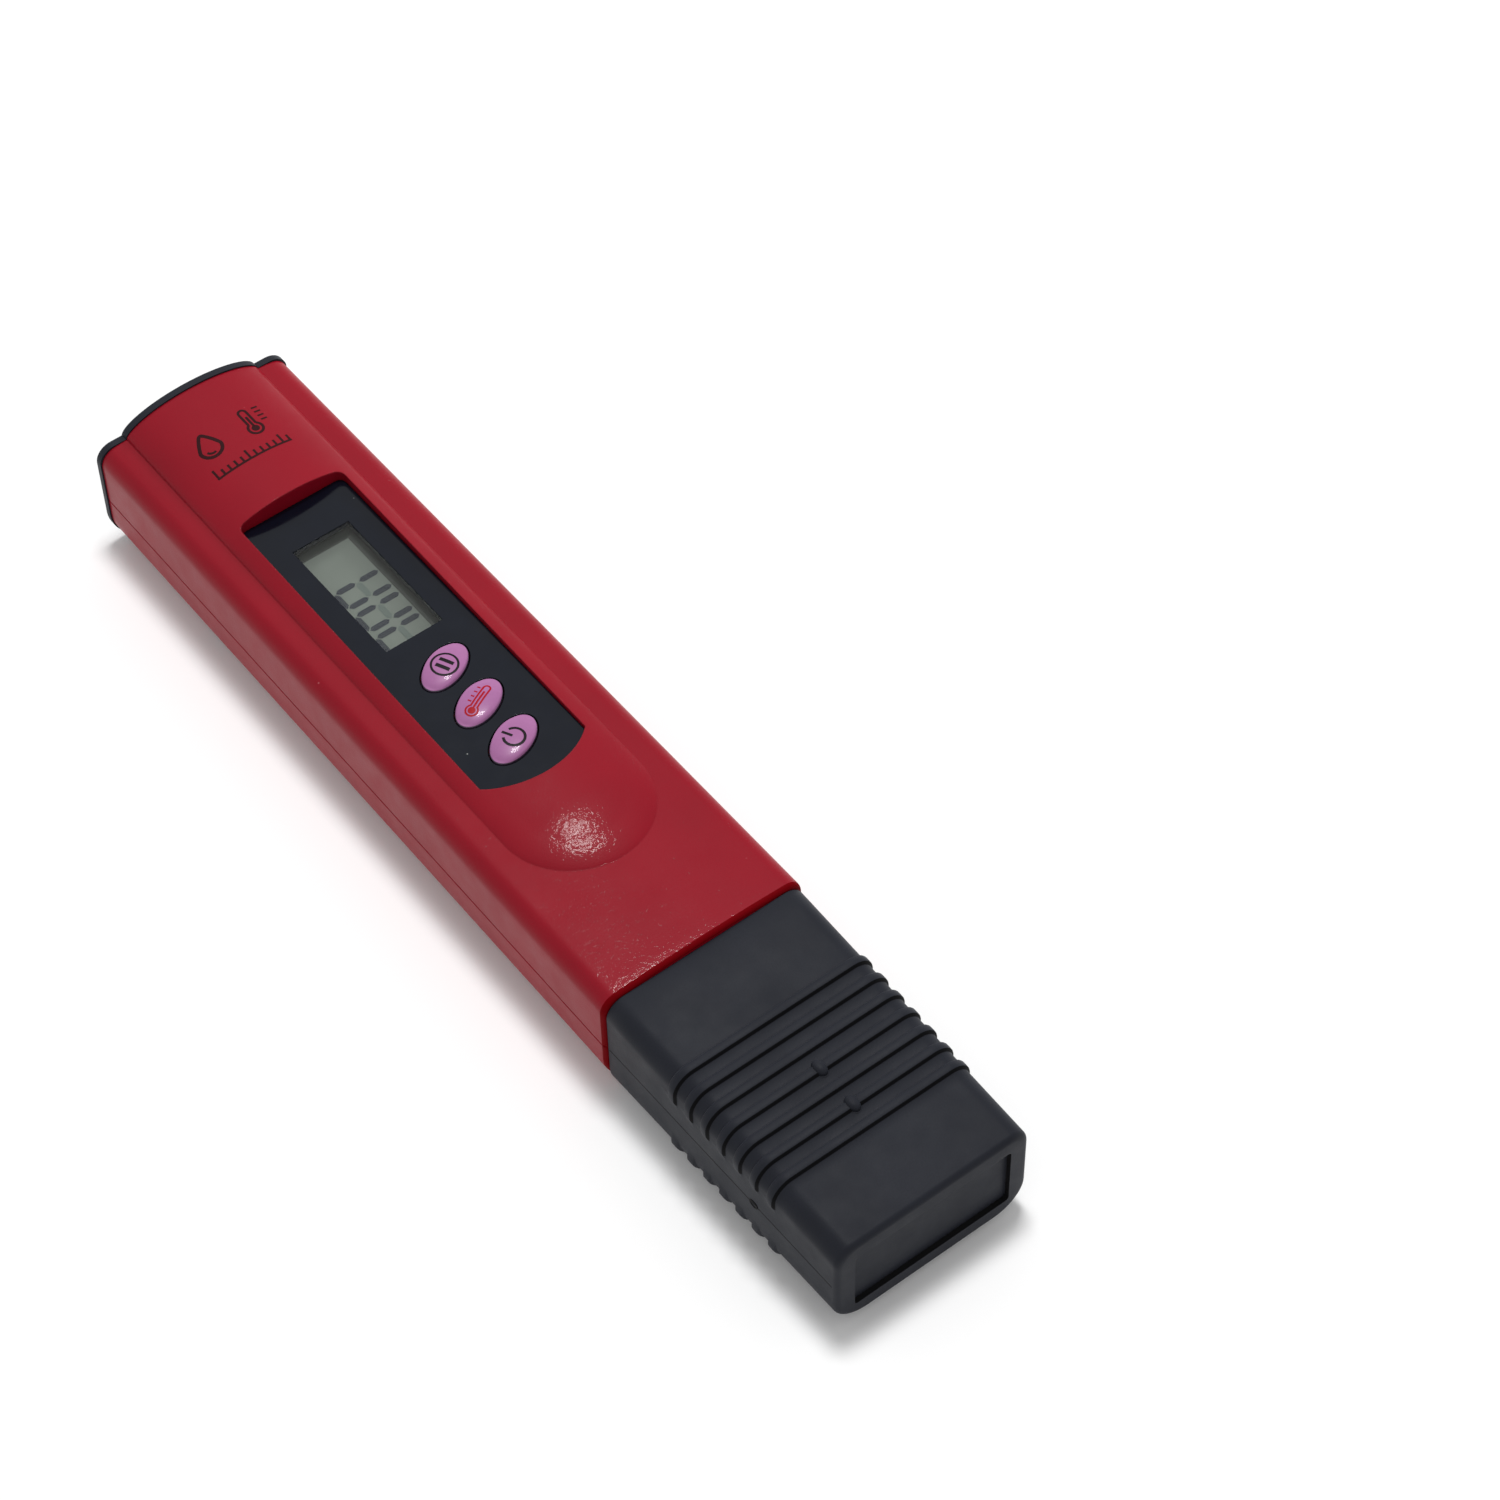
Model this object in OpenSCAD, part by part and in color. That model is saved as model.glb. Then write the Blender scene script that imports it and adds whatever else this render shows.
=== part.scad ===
// Pocket water tester: a pen with a display, three buttons, a battery end cap
// and a pull-off cap over the electrodes. It lies on its back: +Z is the display
// side, +Y points to the battery end, -Y to the protective cap.

/* [Body] */
// Length of the red body, from its mouth to the battery end
body_len = 110.7; // [109:0.1:133]
// Width of the body at its mouth
body_w = 29.9; // [28.5:0.1:36]
// Loss of width from the mouth to the battery end
body_taper = 1.1; // [0:0.1:1.6]
// Height of the flat shoulders above the back
shoulder_z = 17.8; // [17.6:0.1:21.4]
// Height of the parting line between the two shells
seam_z = 9.0; // [8.4:0.1:9.6]
// Wall of the two shells
shell_wall = 1.6; // [1.2:0.02:1.92]
// Radius of the long edges beside the display
top_r = 2.4; // [1.8:0.1:3]
// Radius of the long edges at the back
back_r = 5.9; // [4:0.1:6.5]

/* [Raised arch] */
// Width of the arch where it leaves the shoulders
arch_w = 20.5; // [19:0.1:22]
// Height of the arch above the shoulders, at the battery end
arch_h = 3.1; // [2.6:0.1:3.8]
// Height of the arch above the shoulders, at its nose
nose_h = 1.5; // [1.2:0.1:2.2]
// Length of the arch, from the battery end to the tip of its nose
arch_len = 94.8; // [90:0.1:98]

/* [Display panel] */
// Width of the glossy panel
panel_w = 15.7; // [14.5:0.1:17]
// Length of the panel along its middle
panel_len = 56.2; // [54:0.1:60]
// Thickness of the panel
panel_t = 0.8; // [0.6:0.1:1]
// Height of the panel's face above the shoulders
panel_rise = 0.5; // [0.3:0.1:0.8]
// Distance from the battery end to the panel
panel_gap = 23.3; // [22:0.1:26]
// Width of the clear window
window_w = 8.6; // [8:0.1:9.4]
// Length of the clear window
window_len = 21.0; // [18:0.1:22]
// Distance from the panel's upper edge to the window's middle
window_at = 17.2; // [16:0.1:18]

/* [Buttons] */
// Length of an oval button
button_len = 8.4; // [7:0.1:8.8]
// Width of an oval button
button_w = 5.0; // [4.4:0.1:6]
// Turn of the ovals, seen from the front
button_turn = 25.6; // [0:0.1:30]
// Distance from the panel's upper edge to the first button
button_at = 34.3; // [33.5:0.1:35]
// Distance from one button to the next
button_pitch = 7.3; // [7:0.1:7.6]
// Distance that a button travels
button_travel = 0.4; // [0.3:0.05:0.5]
// Gap around a button
button_gap = 0.2; // [0.15:0.05:0.3]

/* [Protective cap] */
// Length of the protective cap
cap_len = 43.1; // [41.5:0.1:50]
// Step from the body down to the cap, at the mouth
cap_step = 0.3; // [0.2:0.1:0.6]
// Width of the cap at its closed end
cap_end_w = 28.4; // [27.8:0.1:29]
// Wall of the cap at its closed end
cap_end_wall = 3.0; // [2.6:0.1:4]
// Gap between the cap and the neck that it slides on
cap_fit = 0.15; // [0.1:0.05:0.2]
// Number of grip ribs on each broad side
rib_count = 7; // [3:1:8]
// Distance from one grip rib to the next
rib_pitch = 3.05; // [2.6:0.05:3.3]
// Height of a grip rib
rib_h = 0.4; // [0.3:0.05:0.5]

/* [Neck and probe] */
// Length of the neck inside the cap
neck_len = 12.0; // [9:0.1:14]
// Wall of the neck
neck_wall = 1.4; // [1.2:0.1:1.6]
// Width of the probe holder
probe_w = 17.0; // [15:0.1:19]
// Height of the probe holder
probe_h = 8.4; // [7:0.1:10.1]
// Distance that the probe holder stands out of the neck
probe_out = 22.0; // [18:0.1:24]
// Depth of the chamber around the electrodes
chamber_len = 11.0; // [9:0.1:12]
// Diameter of an electrode pin
pin_d = 1.4; // [1:0.1:1.8]
// Distance between the two electrode pins
pin_pitch = 5.6; // [5:0.1:6.4]

/* [Battery] */
// Diameter of a button cell
cell_d = 11.6; // [11.4:0.1:11.8]
// Height of a button cell
cell_h = 5.4; // [5.2:0.1:5.6]
// Thickness of the battery cap outside the body
end_t = 1.2; // [1:0.1:2]
// Depth of the battery cap's skirt inside the body
skirt_len = 4.5; // [3:0.1:5]
// Gap between the skirt and the body
skirt_fit = 0.1; // [0.05:0.05:0.2]

/* [Circuit board] */
// Width of the board
board_w = 16.6; // [15.6:0.1:17]
// Length of the board
board_len = 69.0; // [67:0.1:70]
// Thickness of the board
board_t = 1.2; // [0.8:0.1:1.6]
// Height of the display glass, with both polarisers
lcd_t = 1.8; // [1.4:0.1:2]

/* [Hidden] */
$fn = 48;

eps = 0.01;
cut = 1;

// Stations along the pen
total_len = cap_len + body_len + end_t;
y_tip = -total_len / 2;
y_mouth = y_tip + cap_len;
y_batt = y_mouth + body_len;
y_end = y_batt + end_t;

// Heights of the display stack, from the panel's face down to the board
z_panel = shoulder_z + panel_rise;
z_floor = z_panel - panel_t;
z_ceiling = shoulder_z - shell_wall;
z_lcd = z_ceiling - lcd_t;
strip_h = 2.8;
z_board = z_lcd - strip_h;
z_under = z_board - board_t;

// Panel, window and buttons
y_panel = y_batt - panel_gap;
y_window = y_panel - window_at;
panel_corner = 1.0;
panel_sag = 3.3;
panel_fit = 0.1;
y_buttons = [for (i = [0:2]) y_panel - button_at - i * button_pitch];

// Board and what it carries
board_end = 20.3;
y_board = y_batt - board_end;
y_board_low = y_board - board_len;

// Arch
nose_r = arch_w / 2;
y_nose = y_batt - arch_len + nose_r;
slope_from = y_panel + 0.5;

// Neck and probe
neck_w = body_w - 4.2;
neck_r = 2.2;
neck_space = 0.65;
z_probe = (shoulder_z - 0.7) / 2;
neck_low = z_probe - probe_h / 2 - neck_space - neck_wall;
neck_high = z_probe + probe_h / 2 + neck_space + neck_wall;
y_neck = y_mouth - neck_len;
y_probe = y_neck - probe_out;
mouth_wall = 1.8;

// Screws
screw_x = body_w / 2 - 4.3;
screw_y = [y_mouth + 12, y_board - 2];
screw_d = 2.0;
screw_head_d = 3.6;
screw_head_h = 1.4;
head_depth = 2.9;
boss_r = 2.1;
foot_r = 2.6;

// Battery
y_cells = y_batt - 12.2;
z_cells = 2.9;
cell_gap = 0.2;
holder_wall = 1.2;

// A flat shape in X and Z, drawn out along Y from y0 to y1
module along_y(y0, y1) {
    translate([0, y1, 0]) rotate([90, 0, 0]) linear_extrude(y1 - y0) children();
}

// A flat shape in Y and Z, drawn out along X from x0 to x1
module along_x(x0, x1) {
    translate([x0, 0, 0]) rotate([90, 0, 90]) linear_extrude(x1 - x0) children();
}

// A rectangle from z0 to z1 with its own upper and lower corner radii
module section(w, z0, z1, r_top, r_low) {
    x_top = w / 2 - r_top;
    x_low = w / 2 - r_low;
    half_h = (z1 - z0) / 2;
    union() {
        translate([-x_low, z0]) square([2 * x_low, half_h]);
        translate([-w / 2, z0 + r_low]) square([w, z1 - z0 - r_low - r_top]);
        translate([-x_top, z0 + half_h]) square([2 * x_top, half_h]);
        for (s = [-1, 1]) {
            translate([s * x_low, z0 + r_low]) circle(r_low);
            translate([s * x_top, z1 - r_top]) circle(r_top);
        }
    }
}

module body_section() section(body_w, 0, shoulder_z, top_r, back_r);

module hollow_section() {
    section(body_w - body_taper - 2 * shell_wall, shell_wall, z_ceiling,
        max(top_r - shell_wall, 0.6), back_r - shell_wall);
}

module neck_section() section(neck_w, neck_low, neck_high, neck_r, neck_r);

module neck_hollow() {
    section(neck_w - 2 * neck_wall, neck_low + neck_wall, neck_high - neck_wall,
        neck_r - neck_wall, neck_r - neck_wall);
}

// Half-ellipse that stands on the shoulders, as wide as the arch
arch_steps = 24;
function arch_points(h) = [
    for (i = [0:arch_steps])
        let (a = 180 * i / arch_steps) [nose_r * cos(a), h * sin(a)]
];

module arch_section(h, sink) {
    polygon(concat(arch_points(h), [[-nose_r, -sink], [nose_r, -sink]]));
}

// Wedge that narrows the body towards the battery end
module taper_wedge() {
    near = body_w / 2;
    far = body_w / 2 - body_taper / 2;
    translate([0, 0, -cut]) linear_extrude(shoulder_z + arch_h + 2 * cut)
        polygon([[-near, y_mouth], [near, y_mouth], [far, y_batt], [-far, y_batt]]);
}

// The arch: level at the battery end, then sloping down to a round nose
module arch(sink) {
    translate([0, 0, shoulder_z]) {
        along_y(slope_from, y_batt) arch_section(arch_h, sink);
        hull() {
            along_y(slope_from, slope_from + eps) arch_section(arch_h, sink);
            along_y(y_nose - eps, y_nose) arch_section(nose_h, sink);
        }
        translate([0, y_nose, 0]) rotate_extrude()
            polygon(concat(
                [for (i = [0:arch_steps / 2]) arch_points(nose_h)[i]],
                [[0, -sink], [nose_r, -sink]]));
    }
}

module body_solid() {
    intersection() {
        along_y(y_mouth, y_batt) body_section();
        taper_wedge();
    }
}

// Space inside both shells, open at the battery end
module body_hollow() {
    along_y(y_mouth + mouth_wall, y_batt + cut) hollow_section();
    along_y(y_neck - cut, y_mouth + mouth_wall + cut) neck_hollow();
}

// Outline of the panel, seen from the front
module panel_outline(grow) {
    w = panel_w + 2 * grow;
    sag_r = (pow(w / 2, 2) + pow(panel_sag, 2)) / (2 * panel_sag);
    y_low = y_panel - panel_len + panel_sag;
    intersection() {
        union() {
            translate([-w / 2, y_low - panel_sag - cut])
                square([w, panel_len + cut - panel_corner + grow]);
            translate([-w / 2 + panel_corner, y_panel - 2 * panel_corner])
                square([w - 2 * panel_corner, 2 * panel_corner + grow]);
            for (s = [-1, 1])
                translate([s * (w / 2 - panel_corner), y_panel + grow - panel_corner])
                    circle(panel_corner);
        }
        union() {
            translate([-w, y_low - grow]) square([2 * w, panel_len + cut]);
            translate([0, y_low - panel_sag - grow + sag_r]) circle(sag_r, $fn = 96);
        }
    }
}

module window_outline(grow) {
    translate([0, y_window])
        square([window_w + 2 * grow, window_len + 2 * grow], center = true);
}

// Oval of a button, enlarged all round by grow
oval_steps = 40;
module oval(grow) {
    rotate(button_turn) polygon([
        for (i = [0:oval_steps - 1])
            let (a = 360 * i / oval_steps)
                [(button_len / 2 + grow) * cos(a), (button_w / 2 + grow) * sin(a)]
    ]);
}

module button_holes(z0, z1, grow) {
    for (y = y_buttons)
        translate([0, y, z0]) linear_extrude(z1 - z0) oval(grow);
}

// Layout of the case screws
module at_screws(z) {
    for (s = [-1, 1])
        for (y = screw_y)
            translate([s * screw_x, y, z]) children();
}

// Layout of the board screws, which also carry the board
board_screw_at = [[-6.2, y_board_low + 4], [6.2, y_board_low + 4],
    [-6.2, y_board - 3.4], [6.2, y_board - 3.4]];
board_screw_d = 1.6;
post_r = 1.6;
module at_board_screws(z) {
    for (p = board_screw_at)
        translate([p[0], p[1], z]) children();
}

// Display side of the body, with the bosses and posts that the screws go into
module front_shell() {
    color([0.53, 0.11, 0.16]) difference() {
        union() {
            difference() {
                union() {
                    body_solid();
                    arch(cut);
                    along_y(y_neck, y_mouth + eps) neck_section();
                }
                body_hollow();
                arch_hollow();
            }
            intersection() {
                union() {
                    at_screws(seam_z) cylinder(r = boss_r, h = z_ceiling - seam_z + eps);
                    at_board_screws(z_board)
                        cylinder(r = post_r, h = z_ceiling - z_board + eps);
                }
                union() {
                    body_solid();
                    arch(cut);
                }
            }
        }
        translate([-body_w, y_tip, -cut]) cube([2 * body_w, total_len, seam_z + cut]);
        translate([0, 0, z_floor]) linear_extrude(arch_h + panel_t + cut)
            panel_outline(panel_fit);
        translate([0, 0, z_ceiling - cut]) linear_extrude(z_floor - z_ceiling + 2 * cut)
            window_outline(pane_rim + 0.05);
        button_holes(z_ceiling - cut, z_floor + cut, button_gap);
        at_screws(seam_z - cut) cylinder(d = screw_d - 0.2, h = 5.5 + cut);
        at_board_screws(z_board - cut)
            cylinder(d = board_screw_d - 0.2, h = 3.4 + cut);
    }
}

// Space under the arch behind the panel, so the shell keeps an even wall
module arch_hollow() {
    x = nose_r - 2.6;
    translate([0, 0, z_ceiling - cut]) linear_extrude(cut + 1.6)
        translate([-x, y_panel + 3]) square([2 * x, y_batt - skirt_len - y_panel - 6]);
}

tongue_t = 0.9;
tongue_h = 1.2;
tongue_root = 2.0;
tongue_fit = 0.05;
hollow_w = body_w - body_taper - 2 * shell_wall;
trimmer_x = -4.0;
trimmer_y = y_board_low + 15;
access_d = 3.2;
module rear_shell() {
    color([0.50, 0.10, 0.15]) difference() {
        union() {
            difference() {
                union() {
                    body_solid();
                    along_y(y_neck, y_mouth + eps) neck_section();
                }
                body_hollow();
            }
            intersection() {
                at_screws(0) cylinder(r = foot_r, h = seam_z);
                body_solid();
            }
            for (s = [0, 1]) mirror([s, 0, 0]) tongue();
            translate([0, 0, shell_wall - eps]) trimmer_guide();
        }
        difference() {
            translate([-body_w, y_tip, seam_z])
                cube([2 * body_w, total_len, shoulder_z + cut]);
            for (s = [0, 1]) mirror([s, 0, 0]) tongue();
        }
        at_screws(-cut) cylinder(d = screw_head_d + 0.4, h = head_depth + cut);
        at_screws(-cut) cylinder(d = screw_d + 0.3, h = seam_z + 2 * cut);
        translate([trimmer_x, trimmer_y, -cut])
            cylinder(d = access_d, h = shell_wall + 5 + 2 * cut);
        holder_pocket();
    }
}

// Rail along the inside of a side wall, that steps up into the front shell
module tongue() {
    y0 = screw_y[0] + boss_r + 1;
    y1 = screw_y[1] - boss_r - 1;
    x = hollow_w / 2 - tongue_fit - tongue_t;
    translate([x, y0, seam_z - tongue_root]) {
        cube([tongue_t, y1 - y0, tongue_root + tongue_h]);
        cube([tongue_t + 2 * tongue_fit + eps, y1 - y0, tongue_root]);
    }
}

// Tube that leads a screwdriver from the back to the trimmer
module trimmer_guide() {
    translate([trimmer_x, trimmer_y, 0]) cylinder(d = access_d + 2, h = 3.4);
}

// Low recess that locates the battery holder
holder_foot_t = 0.4;
module holder_pocket() {
    translate([-8.2, y_cells - 7.2, shell_wall - holder_foot_t])
        cube([16.4, 10.4, holder_foot_t + eps]);
}

module battery_cap() {
    grow = 0.2;
    outer_w = body_w - body_taper + 2 * grow;
    skirt_w = body_w - body_taper - 2 * shell_wall - 2 * skirt_fit;
    skirt_wall = 1.1;
    color([0.20, 0.20, 0.22]) {
        along_y(y_batt, y_end)
            section(outer_w, 0, shoulder_z + grow, top_r, back_r);
        translate([0, 0, shoulder_z + grow]) along_y(y_batt, y_end)
            arch_section(arch_h, cut);
        difference() {
            along_y(y_batt - skirt_len, y_batt + eps)
                section(skirt_w, shell_wall + skirt_fit, z_ceiling - skirt_fit,
                    0.8, back_r - shell_wall);
            along_y(y_batt - skirt_len - cut, y_batt)
                section(skirt_w - 2 * skirt_wall, shell_wall + skirt_fit + skirt_wall,
                    z_ceiling - skirt_fit - skirt_wall, 0.6, back_r - shell_wall - skirt_wall);
        }
    }
}

// Outside of the protective cap at its mouth and at its closed end
cap_mouth_w = body_w - 2 * cap_step;
cap_mouth_low = cap_step + 0.1;
cap_mouth_high = shoulder_z - cap_step;
cap_end_low = 0.9;
cap_end_high = cap_mouth_high - 1.4;
cap_r = 2.6;
cap_back_r = 4.2;
end_chamfer = 0.8;
module cap_outside() {
    y_round = y_tip + end_chamfer;
    near = cap_mouth_w / 2;
    far = cap_end_w / 2;
    intersection() {
        along_y(y_tip, y_mouth)
            section(cap_mouth_w, cap_mouth_low, cap_mouth_high, cap_r, cap_back_r);
        translate([0, 0, -cut]) linear_extrude(shoulder_z + 2 * cut) polygon([
            [-near, y_mouth], [near, y_mouth], [far, y_round], [far - end_chamfer, y_tip],
            [-far + end_chamfer, y_tip], [-far, y_round]]);
        along_x(-body_w, body_w) polygon([
            [y_mouth, cap_mouth_low], [y_mouth, cap_mouth_high], [y_round, cap_end_high],
            [y_tip, cap_end_high - end_chamfer], [y_tip, cap_end_low + end_chamfer],
            [y_round, cap_end_low]]);
    }
}

// Share of the way from the closed end to the mouth
function cap_share(y) = (y - y_tip) / cap_len;
function cap_w_at(y) = cap_end_w + cap_share(y) * (cap_mouth_w - cap_end_w);
function cap_low_at(y) = cap_end_low + cap_share(y) * (cap_mouth_low - cap_end_low);
function cap_high_at(y) = cap_end_high + cap_share(y) * (cap_mouth_high - cap_end_high);

// Points of a quarter round about (x, z), starting at the angle a0
function quarter_points(x, z, r, a0) = [
    for (i = [0:rib_steps])
        let (a = a0 + 90 * i / rib_steps) [x + r * cos(a), z + r * sin(a)]
];

rib_first = 13.0;
rib_low = 4.4;
rib_high = 12.6;
rib_t = 1.3;
rib_steps = 5;
rib_y = [for (i = [0:rib_count - 1]) y_mouth - rib_first - i * rib_pitch];
module cap_rib(y) {
    w = cap_w_at(y) + rib_h;
    z0 = max(cap_low_at(y) - rib_h, 0);
    z1 = cap_high_at(y) + rib_h;
    along_y(y - rib_t / 2, y + rib_t / 2) difference() {
        polygon(concat(
            quarter_points(w / 2 - cap_back_r, z0 + cap_back_r, cap_back_r, -90),
            quarter_points(w / 2 - cap_r, z1 - cap_r, cap_r, 0),
            quarter_points(cap_r - w / 2, z1 - cap_r, cap_r, 90),
            quarter_points(cap_back_r - w / 2, z0 + cap_back_r, cap_back_r, 180)
        ));
        translate([-w, rib_low]) square([2 * w, rib_high - rib_low]);
    }
}

module pip(y) {
    for (s = [-1, 1])
        translate([0, y + 0.4 * s, cap_high_at(y) + 0.1]) sphere(0.8, $fn = 24);
}

recess_w = 23.0;
recess_h = 10.0;
recess_depth = 1.4;
module probe_cap() {
    inner_w = neck_w + 2 * cap_fit;
    z_low = neck_low - cap_fit;
    z_high = neck_high + cap_fit;
    z_mid = (cap_end_low + cap_end_high) / 2;
    color([0.21, 0.22, 0.24]) difference() {
        union() {
            cap_outside();
            for (y = rib_y) cap_rib(y);
            for (i = [3, 5])
                if (i < rib_count) pip(rib_y[i]);
        }
        along_y(y_tip + cap_end_wall, y_mouth + cut)
            section(inner_w, z_low, z_high, neck_r, neck_r);
        translate([-recess_w / 2, y_tip - cut, z_mid - recess_h / 2])
            cube([recess_w, recess_depth + cut, recess_h]);
    }
}

module display_panel() {
    color([0.15, 0.16, 0.19]) difference() {
        translate([0, 0, z_floor]) linear_extrude(panel_t) panel_outline(0);
        translate([0, 0, z_floor - cut]) linear_extrude(panel_t + 2 * cut)
            window_outline(0);
        button_holes(z_floor - cut, z_panel + cut, button_gap);
    }
}

// Clear pane in the panel's window, with a rim held in the shell below it
pane_rim = 0.35;
pane_fit = 0.05;
rim_t = 0.6;
pane_low = 0.1;
module display_window() {
    color([0.80, 0.88, 0.88, 0.4]) {
        translate([0, 0, z_floor - rim_t]) linear_extrude(rim_t) window_outline(pane_rim);
        translate([0, 0, z_floor - eps]) linear_extrude(panel_t - pane_low + eps)
            window_outline(-pane_fit);
    }
}

// Domed oval cap on a flange, with a stem that reaches the switch below it
flange_t = 0.7;
flange_gap = 0.1;
dome_rise = 0.75;
dome_r = 14;
stem_d = 3.0;
switch_h = 1.5;
plunger_h = button_travel + 0.3;
z_switch = z_board + switch_h;
z_plunger = z_switch + plunger_h;
z_flange = z_ceiling - flange_gap;
module button(y) {
    color([0.69, 0.47, 0.63]) translate([0, y, 0]) {
        intersection() {
            translate([0, 0, z_flange - eps])
                linear_extrude(z_panel + dome_rise - z_flange + eps) oval(0);
            translate([0, 0, z_panel + dome_rise - dome_r]) sphere(dome_r, $fn = 96);
        }
        translate([0, 0, z_flange - flange_t]) linear_extrude(flange_t) oval(0.5);
        translate([0, 0, z_plunger]) cylinder(d = stem_d, h = z_flange - flange_t - z_plunger + eps);
    }
}

module hold_button() button(y_buttons[0]);
module temperature_button() button(y_buttons[1]);
module power_button() button(y_buttons[2]);

// Self-tapping screw that points up, with a cross recess in its head
module screw(d, head_d, head_h, len) {
    difference() {
        union() {
            cylinder(d = head_d, h = head_h);
            translate([0, 0, head_h - eps]) cylinder(d = d, h = len - 0.8 + eps);
            translate([0, 0, head_h + len - 0.8 - eps]) cylinder(d1 = d, d2 = d * 0.4, h = 0.8);
        }
        for (a = [0, 90])
            rotate(a) translate([-head_d * 0.3, -head_d * 0.08, -cut])
                cube([head_d * 0.6, head_d * 0.16, cut + head_h * 0.6]);
    }
}

module case_screws() {
    color([0.72, 0.73, 0.75]) at_screws(head_depth - screw_head_h)
        screw(screw_d - 0.2, screw_head_d, screw_head_h, 10.5);
}

module board_screws() {
    head_h = 0.9;
    color([0.72, 0.73, 0.75]) at_board_screws(z_under - head_h)
        screw(board_screw_d - 0.2, 2.9, head_h, board_t + 3.0);
}

// Holes of the three probe leads
lead_y = y_board_low + 2;
lead_x = [-pin_pitch / 2, 0, pin_pitch / 2];
lead_d = 0.8;
module circuit_board() {
    color([0.10, 0.36, 0.20]) difference() {
        translate([-board_w / 2, y_board_low, z_under]) cube([board_w, board_len, board_t]);
        at_board_screws(z_under - cut) cylinder(d = board_screw_d + 0.2, h = board_t + 2 * cut);
        for (x = lead_x)
            translate([x, lead_y, z_under - cut]) cylinder(d = lead_d, h = board_t + 2 * cut);
    }
}

// Display glass between its two thin films
film_t = 0.2;
lcd_w = 12.6;
lcd_len = window_len + 3.4;
module lcd_plate(w, len, z0, t) {
    translate([-w / 2, y_window - len / 2, z0]) cube([w, len, t]);
}

module lcd_polariser() {
    color([0.45, 0.48, 0.44]) lcd_plate(lcd_w - 1.2, lcd_len - 1, z_ceiling - film_t, film_t);
}

module lcd_cell() {
    color([0.62, 0.68, 0.66])
        lcd_plate(lcd_w, lcd_len, z_lcd + film_t, lcd_t - 2 * film_t);
}

module lcd_reflector() {
    color([0.60, 0.62, 0.60]) lcd_plate(lcd_w - 4.4, lcd_len - 1, z_lcd, film_t);
}

// Frame that holds the glass against the shell and stands on the board
frame_wall = 0.9;
frame_fit = 0.1;
strip_w = 1.8;
strip_x = lcd_w / 2 - 1.1;
module lcd_frame() {
    w = lcd_w + 2 * frame_wall + 2 * frame_fit;
    len = lcd_len + 2 * frame_wall + 2 * frame_fit;
    color([0.88, 0.88, 0.85]) difference() {
        lcd_plate(w, len, z_board, z_ceiling - z_board);
        lcd_plate(lcd_w + 2 * frame_fit, lcd_len + 2 * frame_fit, z_lcd, lcd_t + cut);
        lcd_plate(lcd_w - 4.0, lcd_len - 3, z_board - cut, strip_h + 2 * cut);
        for (s = [-1, 1])
            translate([s * strip_x - strip_w / 2 - frame_fit, y_window - lcd_len / 2 + 1, z_board - cut])
                cube([strip_w + 2 * frame_fit, lcd_len - 2, strip_h + 2 * cut]);
    }
}

module contact_strips() {
    color([0.85, 0.45, 0.50]) for (s = [-1, 1])
        translate([s * strip_x - strip_w / 2, y_window - lcd_len / 2 + 1.2, z_board])
            cube([strip_w, lcd_len - 2.4, strip_h + film_t]);
}

// Push switches below the buttons
switch_w = 4.6;
plunger_d = 2.2;
plunger_gap = 0.05;
plunger_sunk = 0.6;
well_depth = plunger_sunk + button_travel + 0.2;
module switch_bodies() {
    color([0.15, 0.15, 0.16]) for (y = y_buttons) difference() {
        translate([-switch_w / 2, y - switch_w / 2, z_board]) cube([switch_w, switch_w, switch_h]);
        translate([0, y, z_switch - well_depth]) cylinder(d = plunger_d + 2 * plunger_gap, h = well_depth + cut);
    }
}

module plunger(y) {
    color([0.90, 0.88, 0.82]) translate([0, y, z_switch - plunger_sunk])
        cylinder(d = plunger_d, h = plunger_sunk + plunger_h);
}

module hold_plunger() plunger(y_buttons[0]);
module temperature_plunger() plunger(y_buttons[1]);
module power_plunger() plunger(y_buttons[2]);

// Black resin over the chip, on the board's back
module chip_cover() {
    color([0.10, 0.10, 0.11]) translate([0, y_window, z_under]) intersection() {
        translate([0, 0, 9.4 - 1.6]) sphere(9.4, $fn = 64);
        translate([0, 0, -1.6]) cylinder(r = 6, h = 1.6);
    }
}

module crystal() {
    color([0.75, 0.76, 0.78]) translate([5.4, y_window - 12, z_under - 1.2])
        rotate([-90, 0, 0]) cylinder(d = 2.4, h = 6.2);
}

// Chip parts on the board's back: position, length and width of each
chip_parts = [[-5.6, -20, 2.0, 1.2], [-2.4, -20, 2.0, 1.2], [0.8, -20, 2.0, 1.2],
    [5.6, -20, 1.6, 0.8], [5.6, -23, 1.6, 0.8], [-5.6, 10.5, 3.2, 1.6],
    [-1.2, 11, 2.0, 1.2], [3.2, 11, 2.0, 1.2]];
module small_parts() {
    color([0.62, 0.52, 0.40]) for (p = chip_parts)
        translate([p[0] - p[2] / 2, y_window + p[1] - p[3] / 2, z_under - 0.7])
            cube([p[2], p[3], 0.7]);
}

// Calibration trimmer on the board's back, turned through the hole in the shell
trimmer_w = 6.4;
trimmer_h = 1.8;
rotor_d = 4.6;
rotor_gap = 0.05;
module trimmer_body() {
    color([0.16, 0.30, 0.62]) translate([trimmer_x, trimmer_y, z_under]) difference() {
        translate([-trimmer_w / 2, -trimmer_w / 2, -trimmer_h])
            cube([trimmer_w, trimmer_w, trimmer_h]);
        translate([0, 0, -trimmer_h - cut]) cylinder(d = rotor_d + 2 * rotor_gap, h = 1.2 + cut);
    }
}

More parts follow.
